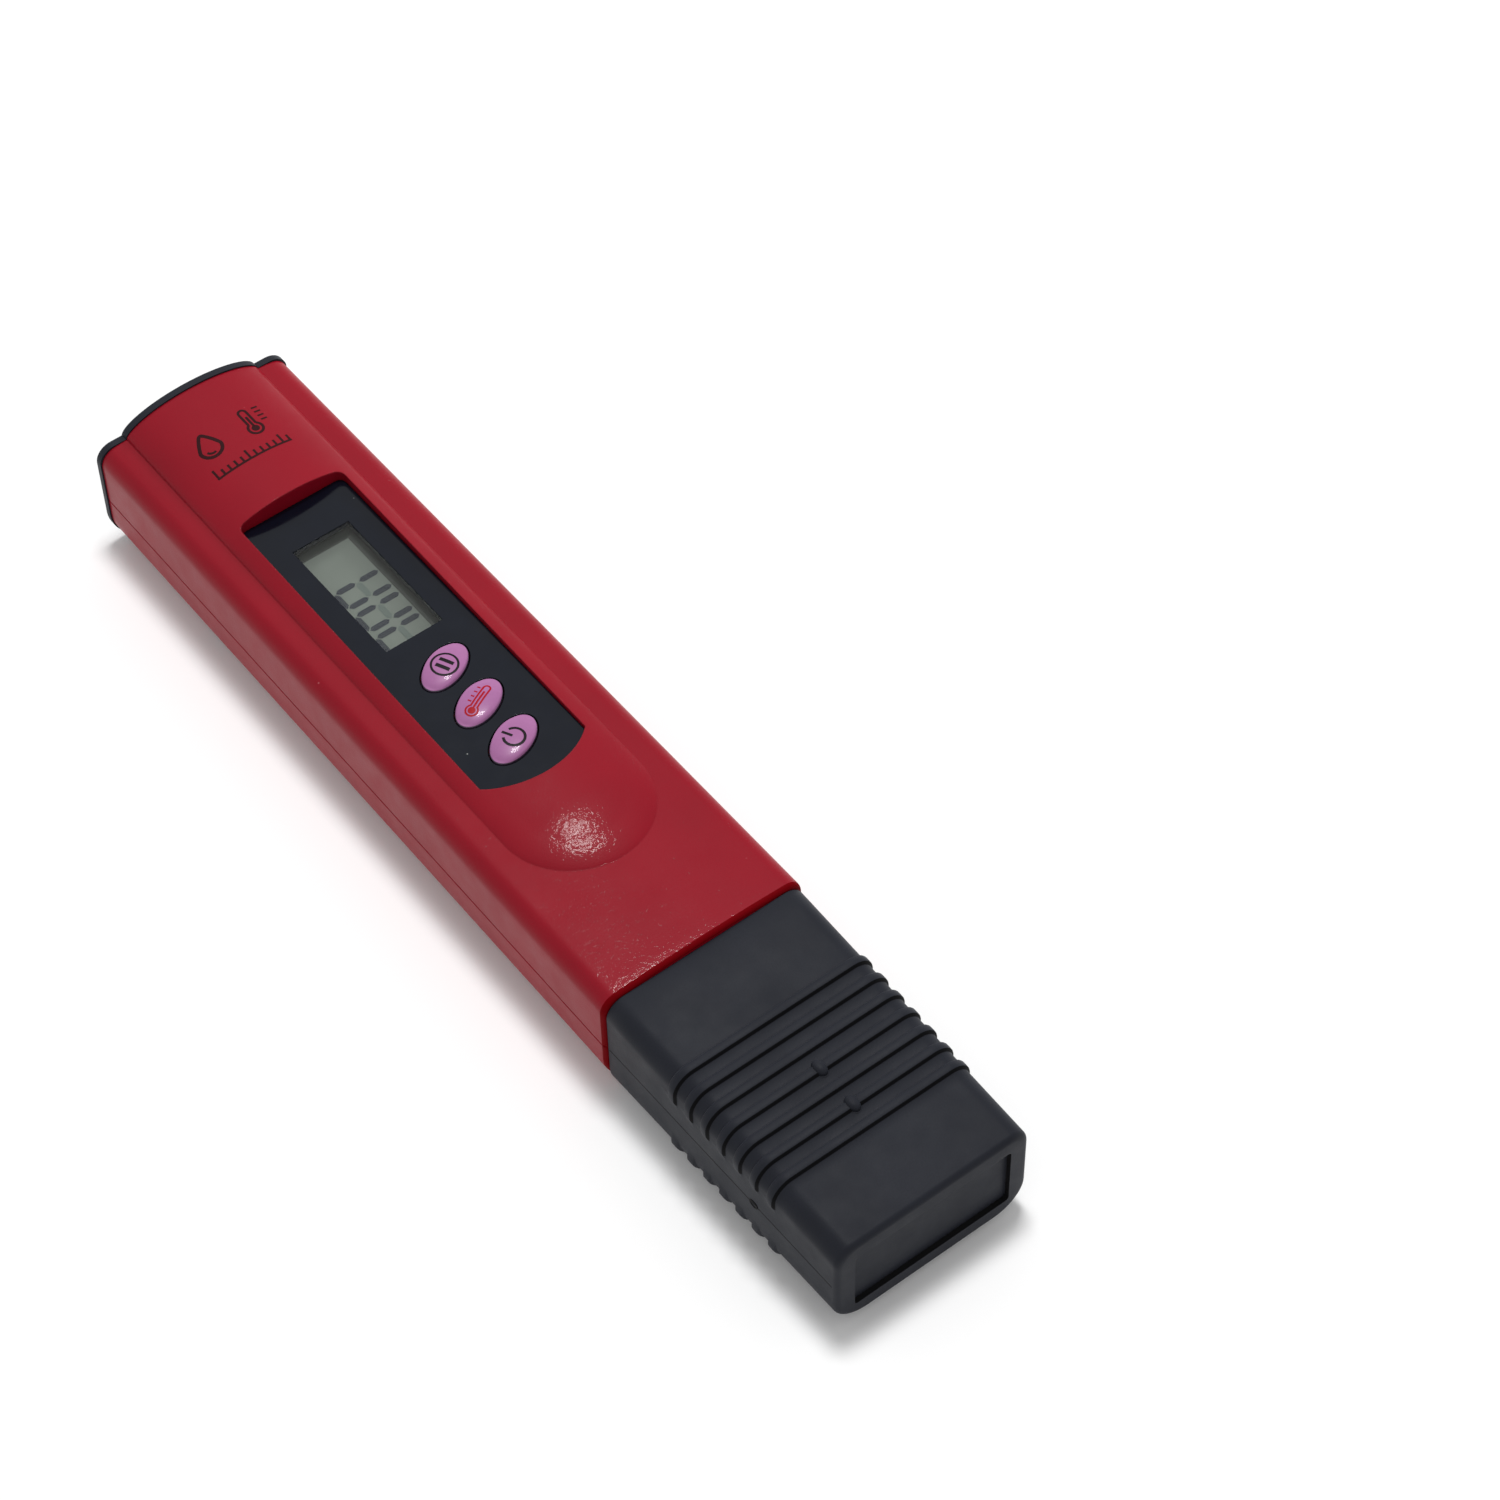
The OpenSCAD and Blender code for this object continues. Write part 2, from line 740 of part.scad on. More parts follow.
module trimmer_rotor() {
    color([0.86, 0.84, 0.78]) translate([trimmer_x, trimmer_y, z_under - trimmer_h]) difference() {
        translate([0, 0, -0.3]) cylinder(d = rotor_d, h = 1.4);
        translate([-1.4, -0.3, -0.3 - cut]) cube([2.8, 0.6, 0.6 + cut]);
    }
}

// Cradle around the two stacked cells, open towards the battery cap
contact_t = 0.3;
contact_w = 5.0;
contact_fit = 0.1;
contact_y = y_board - 1.5;
spring_rise = 0.3;
z_spring = z_cells - spring_rise - contact_t;
z_top = z_cells + 2 * cell_h;
module battery_holder() {
    inner_r = cell_d / 2 + cell_gap;
    outer_r = inner_r + holder_wall;
    foot = shell_wall - holder_foot_t;
    slot = contact_w / 2 + contact_fit;
    color([0.13, 0.13, 0.14]) difference() {
        union() {
            translate([-8.1, y_cells - 7.1, foot]) cube([16.2, 10.2, 1.0]);
            translate([0, y_cells, foot + 0.9]) cylinder(r = outer_r, h = z_top + 0.6 - foot - 0.9);
        }
        translate([0, y_cells, z_cells - 0.1]) cylinder(r = inner_r, h = 2 * cell_h + 3);
        translate([-inner_r, y_cells, z_cells - 0.1]) cube([2 * inner_r, 20, 2 * cell_h + 3]);
        translate([-outer_r - 1, y_cells + 3, 0]) cube([2 * outer_r + 2, 20, 20]);
        translate([-slot, y_cells - outer_r - 1, z_spring]) cube([2 * slot, outer_r + 3, z_cells - z_spring]);
        translate([-slot, y_cells - outer_r - 1, z_top - 0.05]) cube([2 * slot, outer_r, 5]);
    }
}

module cell(z) {
    translate([0, y_cells, z]) {
        cylinder(d = cell_d - 1.6, h = 0.5 + eps);
        translate([0, 0, 0.5]) cylinder(d = cell_d, h = cell_h - 0.5);
    }
}

module battery_cell_lower() color([0.78, 0.78, 0.80]) cell(z_cells);
module battery_cell_upper() color([0.78, 0.78, 0.80]) cell(z_cells + cell_h);

// Flat contact on top of the stack, with a leg down to the board
module contact_plus() {
    color([0.80, 0.74, 0.52]) translate([-contact_w / 2, contact_y, 0]) {
        translate([0, 0, z_top]) cube([contact_w, y_cells + 3 - contact_y, contact_t]);
        translate([0, 0, z_board]) cube([contact_w, contact_t, z_top - z_board + eps]);
    }
}

// Contact below the stack, with a raised middle and a leg up to the board
module contact_minus() {
    color([0.80, 0.74, 0.52]) {
        translate([-contact_w / 2, contact_y, z_spring]) {
            cube([contact_w, y_cells + 1 - contact_y, contact_t]);
            cube([contact_w, contact_t, z_under - z_spring]);
        }
        translate([0, y_cells - 0.6, z_spring + contact_t - eps]) cylinder(d = 3, h = spring_rise + eps);
    }
}

// Black block in the neck, with an open chamber around the electrodes
collar_len = 6.0;
collar_fit = 0.05;
bulkhead_t = 3.0;
y_bulkhead = y_probe + chamber_len;
chamber_w = probe_w - 4.4;
chamber_h = probe_h - 3.2;
flow_w = chamber_w - 4;
flow_len = 6.0;
seal_t = 1.6;
seal_depth = 0.9;
seal_at = 2.2;
module collar_section(shrink) {
    section(neck_w - 2 * neck_wall - 2 * shrink, neck_low + neck_wall + shrink,
        neck_high - neck_wall - shrink, max(neck_r - neck_wall - shrink, 0.2),
        max(neck_r - neck_wall - shrink, 0.2));
}

module probe_holder() {
    color([0.12, 0.12, 0.13]) difference() {
        union() {
            along_y(y_probe, y_neck + collar_len)
                section(probe_w, z_probe - probe_h / 2, z_probe + probe_h / 2, 2, 2);
            along_y(y_neck, y_neck + collar_len) collar_section(collar_fit);
        }
        along_y(y_neck + seal_at, y_neck + seal_at + seal_t) difference() {
            collar_section(-cut);
            collar_section(seal_depth);
        }
        along_y(y_bulkhead + bulkhead_t, y_neck + collar_len + cut)
            section(chamber_w, z_probe - chamber_h / 2, z_probe + chamber_h / 2, 1, 1);
        along_y(y_probe - cut, y_bulkhead)
            section(chamber_w, z_probe - chamber_h / 2, z_probe + chamber_h / 2, 1, 1);
        translate([-flow_w / 2, y_probe + 3, z_probe - probe_h])
            cube([flow_w, flow_len, 2 * probe_h]);
        for (x = [-1, 1])
            translate([x * pin_pitch / 2, y_bulkhead - cut, z_probe]) rotate([-90, 0, 0])
                cylinder(d = pin_d, h = bulkhead_t + 2 * cut);
        translate([0, y_bulkhead - cut, z_probe]) rotate([-90, 0, 0])
            cylinder(d = sensor_d, h = bulkhead_t + 2 * cut);
    }
}

module probe_seal() {
    color([0.25, 0.25, 0.26]) along_y(y_neck + seal_at, y_neck + seal_at + seal_t) difference() {
        collar_section(0);
        collar_section(seal_depth);
    }
}

// Pins that stand in the chamber, with tails behind the bulkhead
pin_inset = 2.0;
tail_len = 3.0;
y_tail = y_bulkhead + bulkhead_t + tail_len;
module electrode(side) {
    color([0.75, 0.75, 0.74]) translate([side * pin_pitch / 2, y_probe + pin_inset + pin_d / 2, z_probe]) {
        sphere(d = pin_d);
        rotate([-90, 0, 0]) cylinder(d = pin_d, h = y_tail - y_probe - pin_inset - pin_d / 2);
    }
}

module electrode_left() electrode(-1);
module electrode_right() electrode(1);

sensor_d = 2.2;
sensor_inset = 4.5;
module temperature_sensor() {
    color([0.66, 0.66, 0.66]) translate([0, y_probe + sensor_inset, z_probe]) {
        sphere(d = sensor_d);
        rotate([-90, 0, 0]) cylinder(d = sensor_d, h = y_tail - y_probe - sensor_inset);
    }
}

// Wires from the tails, back along the pen and up through the board
module probe_leads() {
    color([0.75, 0.60, 0.15]) for (x = lead_x) {
        translate([x, y_tail, z_probe]) rotate([-90, 0, 0]) cylinder(d = lead_d, h = lead_y - y_tail);
        translate([x, lead_y, z_probe]) sphere(d = lead_d);
        translate([x, lead_y, z_probe]) cylinder(d = lead_d, h = z_board + 0.4 - z_probe);
    }
}

front_shell();
rear_shell();
battery_cap();
probe_cap();
display_panel();
display_window();
hold_button();
temperature_button();
power_button();
case_screws();
circuit_board();
board_screws();
lcd_cell();
lcd_polariser();
lcd_reflector();
lcd_frame();
contact_strips();
switch_bodies();
hold_plunger();
temperature_plunger();
power_plunger();
chip_cover();
crystal();
small_parts();
trimmer_body();
trimmer_rotor();
battery_holder();
battery_cell_upper();
battery_cell_lower();
contact_plus();
contact_minus();
probe_holder();
probe_seal();
electrode_left();
electrode_right();
temperature_sensor();
probe_leads();
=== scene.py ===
import math

import bmesh
import bpy
from mathutils import Matrix, Vector


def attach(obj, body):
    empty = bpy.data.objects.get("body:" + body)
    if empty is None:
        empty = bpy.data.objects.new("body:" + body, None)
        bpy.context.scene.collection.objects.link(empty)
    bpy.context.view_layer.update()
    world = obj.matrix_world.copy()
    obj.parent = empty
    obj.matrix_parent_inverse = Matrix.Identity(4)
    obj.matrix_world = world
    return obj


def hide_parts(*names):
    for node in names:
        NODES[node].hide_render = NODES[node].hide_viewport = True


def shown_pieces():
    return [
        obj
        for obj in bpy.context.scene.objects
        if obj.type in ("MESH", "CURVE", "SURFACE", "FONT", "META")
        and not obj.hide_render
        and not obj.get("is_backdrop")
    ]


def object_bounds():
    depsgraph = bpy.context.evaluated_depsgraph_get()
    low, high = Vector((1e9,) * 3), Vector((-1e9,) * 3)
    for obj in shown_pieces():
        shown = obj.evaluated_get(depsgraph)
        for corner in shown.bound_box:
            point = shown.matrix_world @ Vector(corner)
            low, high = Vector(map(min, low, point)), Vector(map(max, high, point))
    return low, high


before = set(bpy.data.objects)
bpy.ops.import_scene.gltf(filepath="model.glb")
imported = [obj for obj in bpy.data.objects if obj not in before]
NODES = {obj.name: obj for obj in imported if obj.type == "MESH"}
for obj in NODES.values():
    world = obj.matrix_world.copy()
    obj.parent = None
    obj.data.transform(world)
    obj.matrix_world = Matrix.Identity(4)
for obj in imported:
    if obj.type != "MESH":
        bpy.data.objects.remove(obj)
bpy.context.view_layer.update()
MM = 0.001

# ---------------------------------------------------------------- sizes, in mm
# The pen lies along Y with its back on z = 0, from the tip of its cap to the battery cap's end
Y_TIP = -77.5
Y_MOUTH = -34.4
Y_BATT = 76.3
Y_END = 77.5

# Section of the body, and the lip round its mouth
SEAM = 9.0
SEAM_CHAMFER = 0.16
SEAM_SIDE = 0.6
SHOULDER = 17.8
HALF_MOUTH = 14.95
HALF_BATT = 14.4
TOP_R = 2.4
BACK_R = 5.9
WALL = 1.6
HOLLOW_HALF = 12.8
LIP_LENGTH = 0.7
LIP_DEPTH = 0.5

# Raised arch with its round nose, and the slight crown of the shoulders beside it. Across the
# pen the arch is 1 - (x / NOSE_R) ** 2 to a power that drops on the way to the battery cap.
ARCH_POWER = 0.8
ARCH_POWER_DROP = 0.24
NOSE_R = 10.25
Y_NOSE = -8.25
ARCH_H = 3.1
NOSE_H = 1.8
CROWN_H = 0.35
CROWN_HALF = 12.5

# Dark panel in its pocket: a bow at its low end, two small corners at the other
Y_PANEL = 53.0
PANEL_HALF = 7.85
PANEL_LEN = 56.2
PANEL_SAG = 3.3
PANEL_CORNER_R = 1.0
Z_PANEL = 18.3
Z_POCKET = 17.5
Z_CEILING = 16.2

# Window: the clear part, and the larger opening below it in the body
Y_WINDOW = 35.8
WINDOW_HALF = 4.3
WINDOW_HALF_LEN = 10.5
OPENING_HALF = 4.7
OPENING_HALF_LEN = 10.9

# Buttons: slanted ovals with a domed top
BUTTONS = {"hold_button": 18.7, "temperature_button": 11.4, "power_button": 4.1}
BUTTON_TURN = math.radians(25.6)
BUTTON_A = 4.2
BUTTON_B = 2.5
BUTTON_FIT = 0.2
DOME_TOP = Z_PANEL + 0.75
DOME_R = 14.0

# Screws in the back, each with its head in a foot, and the tube that leads to the trimmer.
# Both are sunk into the back wall from IN_WALL up.
SCREWS = [(x, y) for y in (-22.4, 54.0) for x in (-10.65, 10.65)]
SCREW_R = 1.1
HEAD_R = 2.0
HEAD_SEAT = 2.9
FOOT_R = 2.35
FOOT_TOP = 4.2
TRIMMER = (-4.0, 2.0)
TRIMMER_R = 1.6
TUBE_R = 2.6
TUBE_TOP = 5.0
IN_WALL = 1.5

# Neck that the protective cap slides on
Y_NECK = -46.4
NECK_HALF = 12.85
NECK_LOW = 2.3
NECK_HIGH = 14.8
NECK_R = 2.2

# Protective cap: half width, lowest and highest z at its tip, and what each gains by the mouth
CAP_AT_TIP = (14.2, 0.9, 16.1)
CAP_GAIN = (0.45, -0.5, 1.4)
CAP_END_WALL = 3.0
CAP_TOP_R = 2.6
CAP_LOW_R = 4.2
CAP_BORE_R = 2.2
CAP_TIP_R = 0.8

# Ribs of the cap: whole on its broad sides, and faded out within RIB_FADE of these heights
RIB_H = 0.38
RIB_ABOVE = 12.2
RIB_BELOW = 4.9
RIB_FADE = 1.1
# Above this height the low side of each rib is painted near black: painted shade under the rib
SHADED_STEP_ABOVE = 13.0
RIBS = [Y_MOUTH - 13.0 - 3.05 * i for i in range(7)]

# Pips, gate mark and mould lines of the cap
PIP_A = 0.85
PIP_B = 1.25
PIP_H = 0.75
Y_GATE = -62.3
Z_GATE = 8.9
Z_MOULD_LINE = (8.81, 8.99)

# How far ink and mould lines stand on the surface, and how deep ink reaches into it
MARK_LIFT = 0.012
INK_SINK = 0.05

# Edges sharper than this stay sharp, in degrees: on the pieces, on small marks and on buttons
EDGE_ANGLE = 32.0
MARK_ANGLE = 50.0
BUTTON_ANGLE = 60.0

# Steps of the curved outlines. The cap's are for a corner and for a side.
LIP_STEPS = 6
NOSE_STEPS = 42
RIDGE_STEPS = 72
OVAL_STEPS = 56
PIP_STEPS = 32
GATE_STEPS = 24
CORNER_STEPS = (12, 16)


# ------------------------------------------------------------- node materials
# Scales of noise, per metre, and depths of relief, in mm
CLOUD_SCALE = 90.0
PATCH_SCALE = 260.0
SMEAR_SCALE = 420.0
RIPPLE_SCALE = 1500.0
FLOOR_SCALE = 6.0
NOISE_ROUGHNESS = 0.55
GRAIN_DEPTH = 0.03
RIPPLE_DEPTH = 0.06

# Mirror light of clear plastic: at a glancing angle, face on, and how fast it falls
MIRROR_GLANCING = 0.63
MIRROR_FACE_ON = 0.0238
MIRROR_POWER = 5.0


def put(tree, kind, **props):
    node = tree.nodes.new(kind)
    for key, value in props.items():
        setattr(node, key, value)
    return node


def noise(tree, coord, scale, detail):
    node = put(tree, "ShaderNodeTexNoise")
    node.inputs["Scale"].default_value = scale
    node.inputs["Detail"].default_value = detail
    node.inputs["Roughness"].default_value = NOISE_ROUGHNESS
    tree.links.new(coord, node.inputs["Vector"])
    return node.outputs["Fac"]


def ramp(tree, fac, low, high):
    """Colour from low to high over the middle of a noise's range."""
    node = put(tree, "ShaderNodeValToRGB")
    for element, at, colour in zip(node.color_ramp.elements, (0.3, 0.7), (low, high)):
        element.position = at
        element.color = (*colour, 1.0)
    tree.links.new(fac, node.inputs["Fac"])
    return node.outputs["Color"]


def spread(tree, fac, low, high, start=0.25, end=0.75):
    """Value from low to high as fac goes from start to end."""
    node = put(tree, "ShaderNodeMapRange", clamp=True)
    for name, value in (("From Min", start), ("From Max", end), ("To Min", low), ("To Max", high)):
        node.inputs[name].default_value = value
    tree.links.new(fac, node.inputs["Value"])
    return node.outputs["Result"]


def mix(tree, fac, a, b):
    node = put(tree, "ShaderNodeMix", data_type="RGBA")
    tree.links.new(fac, node.inputs[0])
    for source, socket in ((a, node.inputs[6]), (b, node.inputs[7])):
        if isinstance(source, tuple):
            socket.default_value = (*source, 1.0)
        else:
            tree.links.new(source, socket)
    return node.outputs[2]


def relief(tree, height, strength, depth, under):
    """Normal of a surface with that height, on top of the normal under it, if there is one."""
    node = put(tree, "ShaderNodeBump")
    node.inputs["Strength"].default_value = strength
    node.inputs["Distance"].default_value = depth * MM
    tree.links.new(height, node.inputs["Height"])
    if under:
        tree.links.new(under, node.inputs["Normal"])
    return node.outputs["Normal"]


def stretched(tree, place, stretch):
    mapping = put(tree, "ShaderNodeMapping")
    mapping.inputs["Scale"].default_value = stretch
    tree.links.new(place, mapping.inputs["Vector"])
    return mapping.outputs["Vector"]


def speck_mask(tree, place, scale, share):
    """1 in small dots at that share of the cells, 0 elsewhere."""
    dots = put(tree, "ShaderNodeTexVoronoi")
    dots.inputs["Scale"].default_value = scale
    tree.links.new(place, dots.inputs["Vector"])
    cell = put(tree, "ShaderNodeSeparateColor")
    tree.links.new(dots.outputs["Color"], cell.inputs["Color"])
    near = spread(tree, dots.outputs["Distance"], 1.0, 0.0, 0.03, 0.09)
    rare = spread(tree, cell.outputs["Red"], 0.0, 1.0, 1 - share, 1 - share + 0.02)
    both = put(tree, "ShaderNodeMath", operation="MULTIPLY")
    tree.links.new(near, both.inputs[0])
    tree.links.new(rare, both.inputs[1])
    return both.outputs["Value"]


def scaled(colour, k):
    """The colour made brighter or darker, at most white."""
    return tuple(min(c * k, 1.0) for c in colour)


def linear(r, g, b):
    """Linear colour of 8-bit screen values."""
    out = []
    for c in (r, g, b):
        c /= 255.0
        out.append(c / 12.92 if c <= 0.04045 else ((c + 0.055) / 1.055) ** 2.4)
    return tuple(out)


def new_material(name):
    """A material, its node tree and the output with places on the object."""
    mat = bpy.data.materials.new(name)
    mat.use_nodes = True
    tree = mat.node_tree
    return mat, tree, put(tree, "ShaderNodeTexCoord").outputs["Object"]


def finish_of(name, colour, rough, grain=2500.0, bump=0.1, vary=0.06, rough_vary=0.06, edge=0.0,
              specks=None, stretch=None, ripple=0.0, **fixed):
    """A node material: clouded colour, uneven gloss and a fine moulded or brushed grain.

    grain is a scale per metre, and stretch draws it out along an axis. edge is the rounding of
    sharp edges in mm, specks are a scale, a share and a colour, and ripple is the strength of
    the waves in the coat. fixed holds values for the shader's own sockets.
    """
    mat, tree, place = new_material(name)
    shader = tree.nodes["Principled BSDF"]
    for key, value in fixed.items():
        shader.inputs[key.replace("_", " ")].default_value = value
    cloud = noise(tree, place, CLOUD_SCALE, 4.0)
    fine = noise(tree, stretched(tree, place, stretch) if stretch else place, grain, 2.0)
    tint = ramp(tree, cloud, scaled(colour, 1 - vary), scaled(colour, 1 + vary))
    dark = scaled(colour, 1 - 1.6 * vary)
    tint = mix(tree, spread(tree, fine, 0.0, 0.5, 0.45, 0.75), tint, dark)
    if specks:
        speck_scale, speck_share, speck_colour = specks
        tint = mix(tree, speck_mask(tree, place, speck_scale, speck_share), tint, speck_colour)
    tree.links.new(tint, shader.inputs["Base Color"])
    patches = noise(tree, place, PATCH_SCALE, 3.0)
    gloss = spread(tree, patches, max(rough - rough_vary, 0.02), rough + rough_vary)
    tree.links.new(gloss, shader.inputs["Roughness"])
    soft = None
    if edge:
        bevel = put(tree, "ShaderNodeBevel", samples=4)
        bevel.inputs["Radius"].default_value = edge * MM
        soft = bevel.outputs["Normal"]
    tree.links.new(relief(tree, fine, bump, GRAIN_DEPTH, soft), shader.inputs["Normal"])
    if ripple:
        waves = noise(tree, place, RIPPLE_SCALE, 3.0)
        coat = relief(tree, waves, ripple, RIPPLE_DEPTH, soft)
        tree.links.new(coat, shader.inputs["Coat Normal"])
    return mat


def clear_finish(name, tint, rough):
    """See-through plastic: mostly straight through, with a glossy face and faint smears."""
    mat, tree, place = new_material(name)
    tree.nodes.remove(tree.nodes["Principled BSDF"])
    smear = noise(tree, place, SMEAR_SCALE, 4.0)
    through = put(tree, "ShaderNodeBsdfTransparent")
    tree.links.new(ramp(tree, smear, scaled(tint, 0.97), tint), through.inputs["Color"])
    face = put(tree, "ShaderNodeBsdfGlossy")
    face.inputs["Color"].default_value = (1, 1, 1, 1)
    tree.links.new(spread(tree, smear, rough * 0.7, rough * 1.6), face.inputs["Roughness"])
    slant = put(tree, "ShaderNodeLayerWeight")
    slant.inputs["Blend"].default_value = 0.5
    steep = put(tree, "ShaderNodeMath", operation="POWER")
    steep.inputs[1].default_value = MIRROR_POWER
    tree.links.new(slant.outputs["Facing"], steep.inputs[0])
    mirror = put(tree, "ShaderNodeMath", operation="MULTIPLY_ADD")
    mirror.inputs[1].default_value = MIRROR_GLANCING
    mirror.inputs[2].default_value = MIRROR_FACE_ON
    tree.links.new(steep.outputs["Value"], mirror.inputs[0])
    both = put(tree, "ShaderNodeMixShader")
    tree.links.new(mirror.outputs["Value"], both.inputs[0])
    tree.links.new(through.outputs[0], both.inputs[1])
    tree.links.new(face.outputs[0], both.inputs[2])
    tree.links.new(both.outputs[0], tree.nodes["Material Output"].inputs["Surface"])
    return mat


# Moulded plastics of the outside
RED = finish_of("red_abs", linear(142, 9, 30), 0.42, grain=5200.0, bump=0.6, vary=0.05, edge=0.3,
                specks=(520.0, 0.02, linear(176, 90, 96)), ripple=0.9,
                Specular_IOR_Level=0.08, Coat_Weight=0.14, Coat_Roughness=0.07)
# Darker red of the lip round the mouth: painted shade on its rounding
LIP_SHADE = finish_of("red_lip_painted_shade", linear(112, 2, 10), 0.6, grain=5200.0, bump=0.3, vary=0.05,
                Specular_IOR_Level=0.02)
CAP = finish_of("cap_soft_plastic", linear(34, 36, 43), 0.48, grain=4200.0, bump=0.5, vary=0.1,
                edge=0.08, specks=(420.0, 0.03, linear(62, 62, 66)), Specular_IOR_Level=0.1)
# Near-black finish for the ribs' low sides on the cap's top: painted shade
CAP_STEP_SHADE = finish_of("cap_rib_step_painted_shade", linear(7, 7, 9), 0.6, grain=4200.0, bump=0.5, vary=0.1,
                     Specular_IOR_Level=0.05)
# Near black: the mould lines and the gate mark, and painted shade on the walls of the cap's end recess
CAP_LINE_AND_RECESS_SHADE = finish_of("cap_groove_and_recess_shade", linear(9, 9, 10), 0.7, grain=4200.0, bump=0.3,
                     Specular_IOR_Level=0.15)
PANEL = finish_of("panel_gloss", linear(8, 14, 26), 0.14, grain=900.0, bump=0.02, vary=0.12,
                  rough_vary=0.05, edge=0.08, specks=(700.0, 0.05, linear(150, 152, 150)),
                  Specular_IOR_Level=0.2)
BUTTON = finish_of("button_resin", linear(168, 108, 158), 0.3, grain=1500.0, bump=0.05,
                   Specular_IOR_Level=0.16, Coat_Weight=0.12, Coat_Roughness=0.05)
BUTTON_EDGE = finish_of("button_edge", linear(70, 58, 76), 0.2, grain=1500.0, bump=0.03, vary=0.1)

# Inks
BLACK_INK = finish_of("ink_black", linear(22, 14, 20), 0.4, grain=3000.0, bump=0.05, vary=0.1,
                      Specular_IOR_Level=0.1)
RED_INK = finish_of("ink_red", linear(168, 12, 30), 0.4, grain=3000.0, bump=0.05, vary=0.1,
                    Specular_IOR_Level=0.1)
SHELL_INK = finish_of("ink_on_shell", linear(46, 12, 16), 0.5, grain=5200.0, bump=0.3, vary=0.15,
                      Specular_IOR_Level=0.08)

# Display and window
POLARISER = finish_of("lcd_film", linear(120, 127, 120), 0.34, grain=1600.0, bump=0.02, vary=0.03,
                      Specular_IOR_Level=0.2)
SEGMENT = finish_of("lcd_segment", linear(34, 40, 52), 0.34, grain=1600.0, bump=0.02,
                    Specular_IOR_Level=0.15)
GHOST = finish_of("lcd_ghost", linear(98, 109, 104), 0.34, grain=1600.0, bump=0.02, vary=0.04,
                  Specular_IOR_Level=0.2)
SILVER = finish_of("silver_film", (0.62, 0.64, 0.62), 0.35, grain=2600.0, Metallic=1.0)
# Grey of the window's foam, in the tone of the shadow that the window's walls cast on the display:
# painted shadow
GASKET_SHADE = finish_of("gasket_foam_and_painted_shadow", linear(72, 75, 71), 0.8, bump=0.3, vary=0.12,
                   Specular_IOR_Level=0.1)
STRIP = finish_of("zebra_rubber", linear(184, 92, 104), 0.55, grain=2400.0, bump=0.2,
                  stretch=(0.1, 1.0, 0.1), vary=0.2)
PANE = clear_finish("clear_pane", (0.95, 0.96, 0.95), 0.05)
GLASS = clear_finish("display_glass", (0.90, 0.94, 0.92), 0.04)

# Plastics, rubber and parts of the inside
WHITE_ABS = finish_of("white_abs", linear(205, 203, 196), 0.45, grain=3500.0, bump=0.2)
MASK = finish_of("black_mask", linear(24, 26, 28), 0.6, grain=3000.0, bump=0.2, vary=0.1)
PROBE = finish_of("probe_abs", linear(34, 35, 38), 0.42, grain=3600.0, bump=0.3, edge=0.1)
RUBBER = finish_of("seal_rubber", linear(60, 60, 62), 0.65, grain=3000.0, bump=0.4)
NYLON = finish_of("ivory_nylon", linear(222, 214, 190), 0.45, grain=2600.0)
BOARD = finish_of("board_mask", linear(18, 84, 46), 0.3, grain=700.0, vary=0.16)
EPOXY = finish_of("chip_epoxy", linear(22, 22, 24), 0.22, grain=500.0, bump=0.2, vary=0.2)
CHIP = finish_of("chip_ceramic", linear(150, 118, 84), 0.5, grain=2600.0, bump=0.2, vary=0.15)
BLUE = finish_of("trimmer_blue", linear(36, 82, 170), 0.35, grain=2600.0)
WIRE = finish_of("wire_cover", linear(205, 165, 32), 0.42, grain=2600.0, vary=0.1)

# Metals
STEEL = finish_of("zinc_steel", (0.62, 0.63, 0.65), 0.32, grain=2600.0, bump=0.12, edge=0.06,
                  Metallic=1.0)
CAN = finish_of("nickel_can", (0.70, 0.70, 0.71), 0.24, grain=1800.0, edge=0.12,
                stretch=(1.0, 1.0, 0.12), Metallic=1.0)
SPRING = finish_of("gold_spring", (0.74, 0.60, 0.34), 0.28, grain=2600.0, Metallic=1.0)
TITANIUM = finish_of("titanium_pin", (0.56, 0.55, 0.53), 0.26, grain=2600.0, bump=0.12,
                     stretch=(1.0, 0.15, 1.0), Metallic=1.0)
SHEATH = finish_of("sensor_sheath", (0.50, 0.50, 0.49), 0.3, grain=2600.0, bump=0.12,
                   stretch=(1.0, 0.15, 1.0), Metallic=1.0)


# ---------------------------------------------------------------- mesh helpers
def piece(name, verts, faces, mats, body, slot, replaces=(), face_mat=None, angle=EDGE_ANGLE):
    """A mesh object from points in mm, smooth up to the given edge angle."""
    mesh = bpy.data.meshes.new(name)
    mesh.from_pydata([Vector(v) * MM for v in verts], [], faces)
    for mat in mats:
        mesh.materials.append(mat)
    if face_mat:
        mesh.polygons.foreach_set("material_index", face_mat)
    bm = bmesh.new()
    bm.from_mesh(mesh)
    bmesh.ops.remove_doubles(bm, verts=bm.verts, dist=1e-7)
    bmesh.ops.dissolve_degenerate(bm, edges=bm.edges, dist=1e-7)
    bmesh.ops.recalc_face_normals(bm, faces=bm.faces)
    bm.to_mesh(mesh)
    bm.free()
    obj = bpy.data.objects.new(name, mesh)
    bpy.context.scene.collection.objects.link(obj)
    smooth(obj, angle)
    if body:
        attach(obj, body)
        if replaces:
            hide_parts(*replaces)
    return obj


def smooth(obj, angle):
    obj.data.shade_smooth()
    obj.data.set_sharp_from_angle(angle=math.radians(angle))


def tool(name, mesh):
    """A cutter: a mesh without a finish that rides on no body."""
    return piece(name, *mesh, [], None, None)


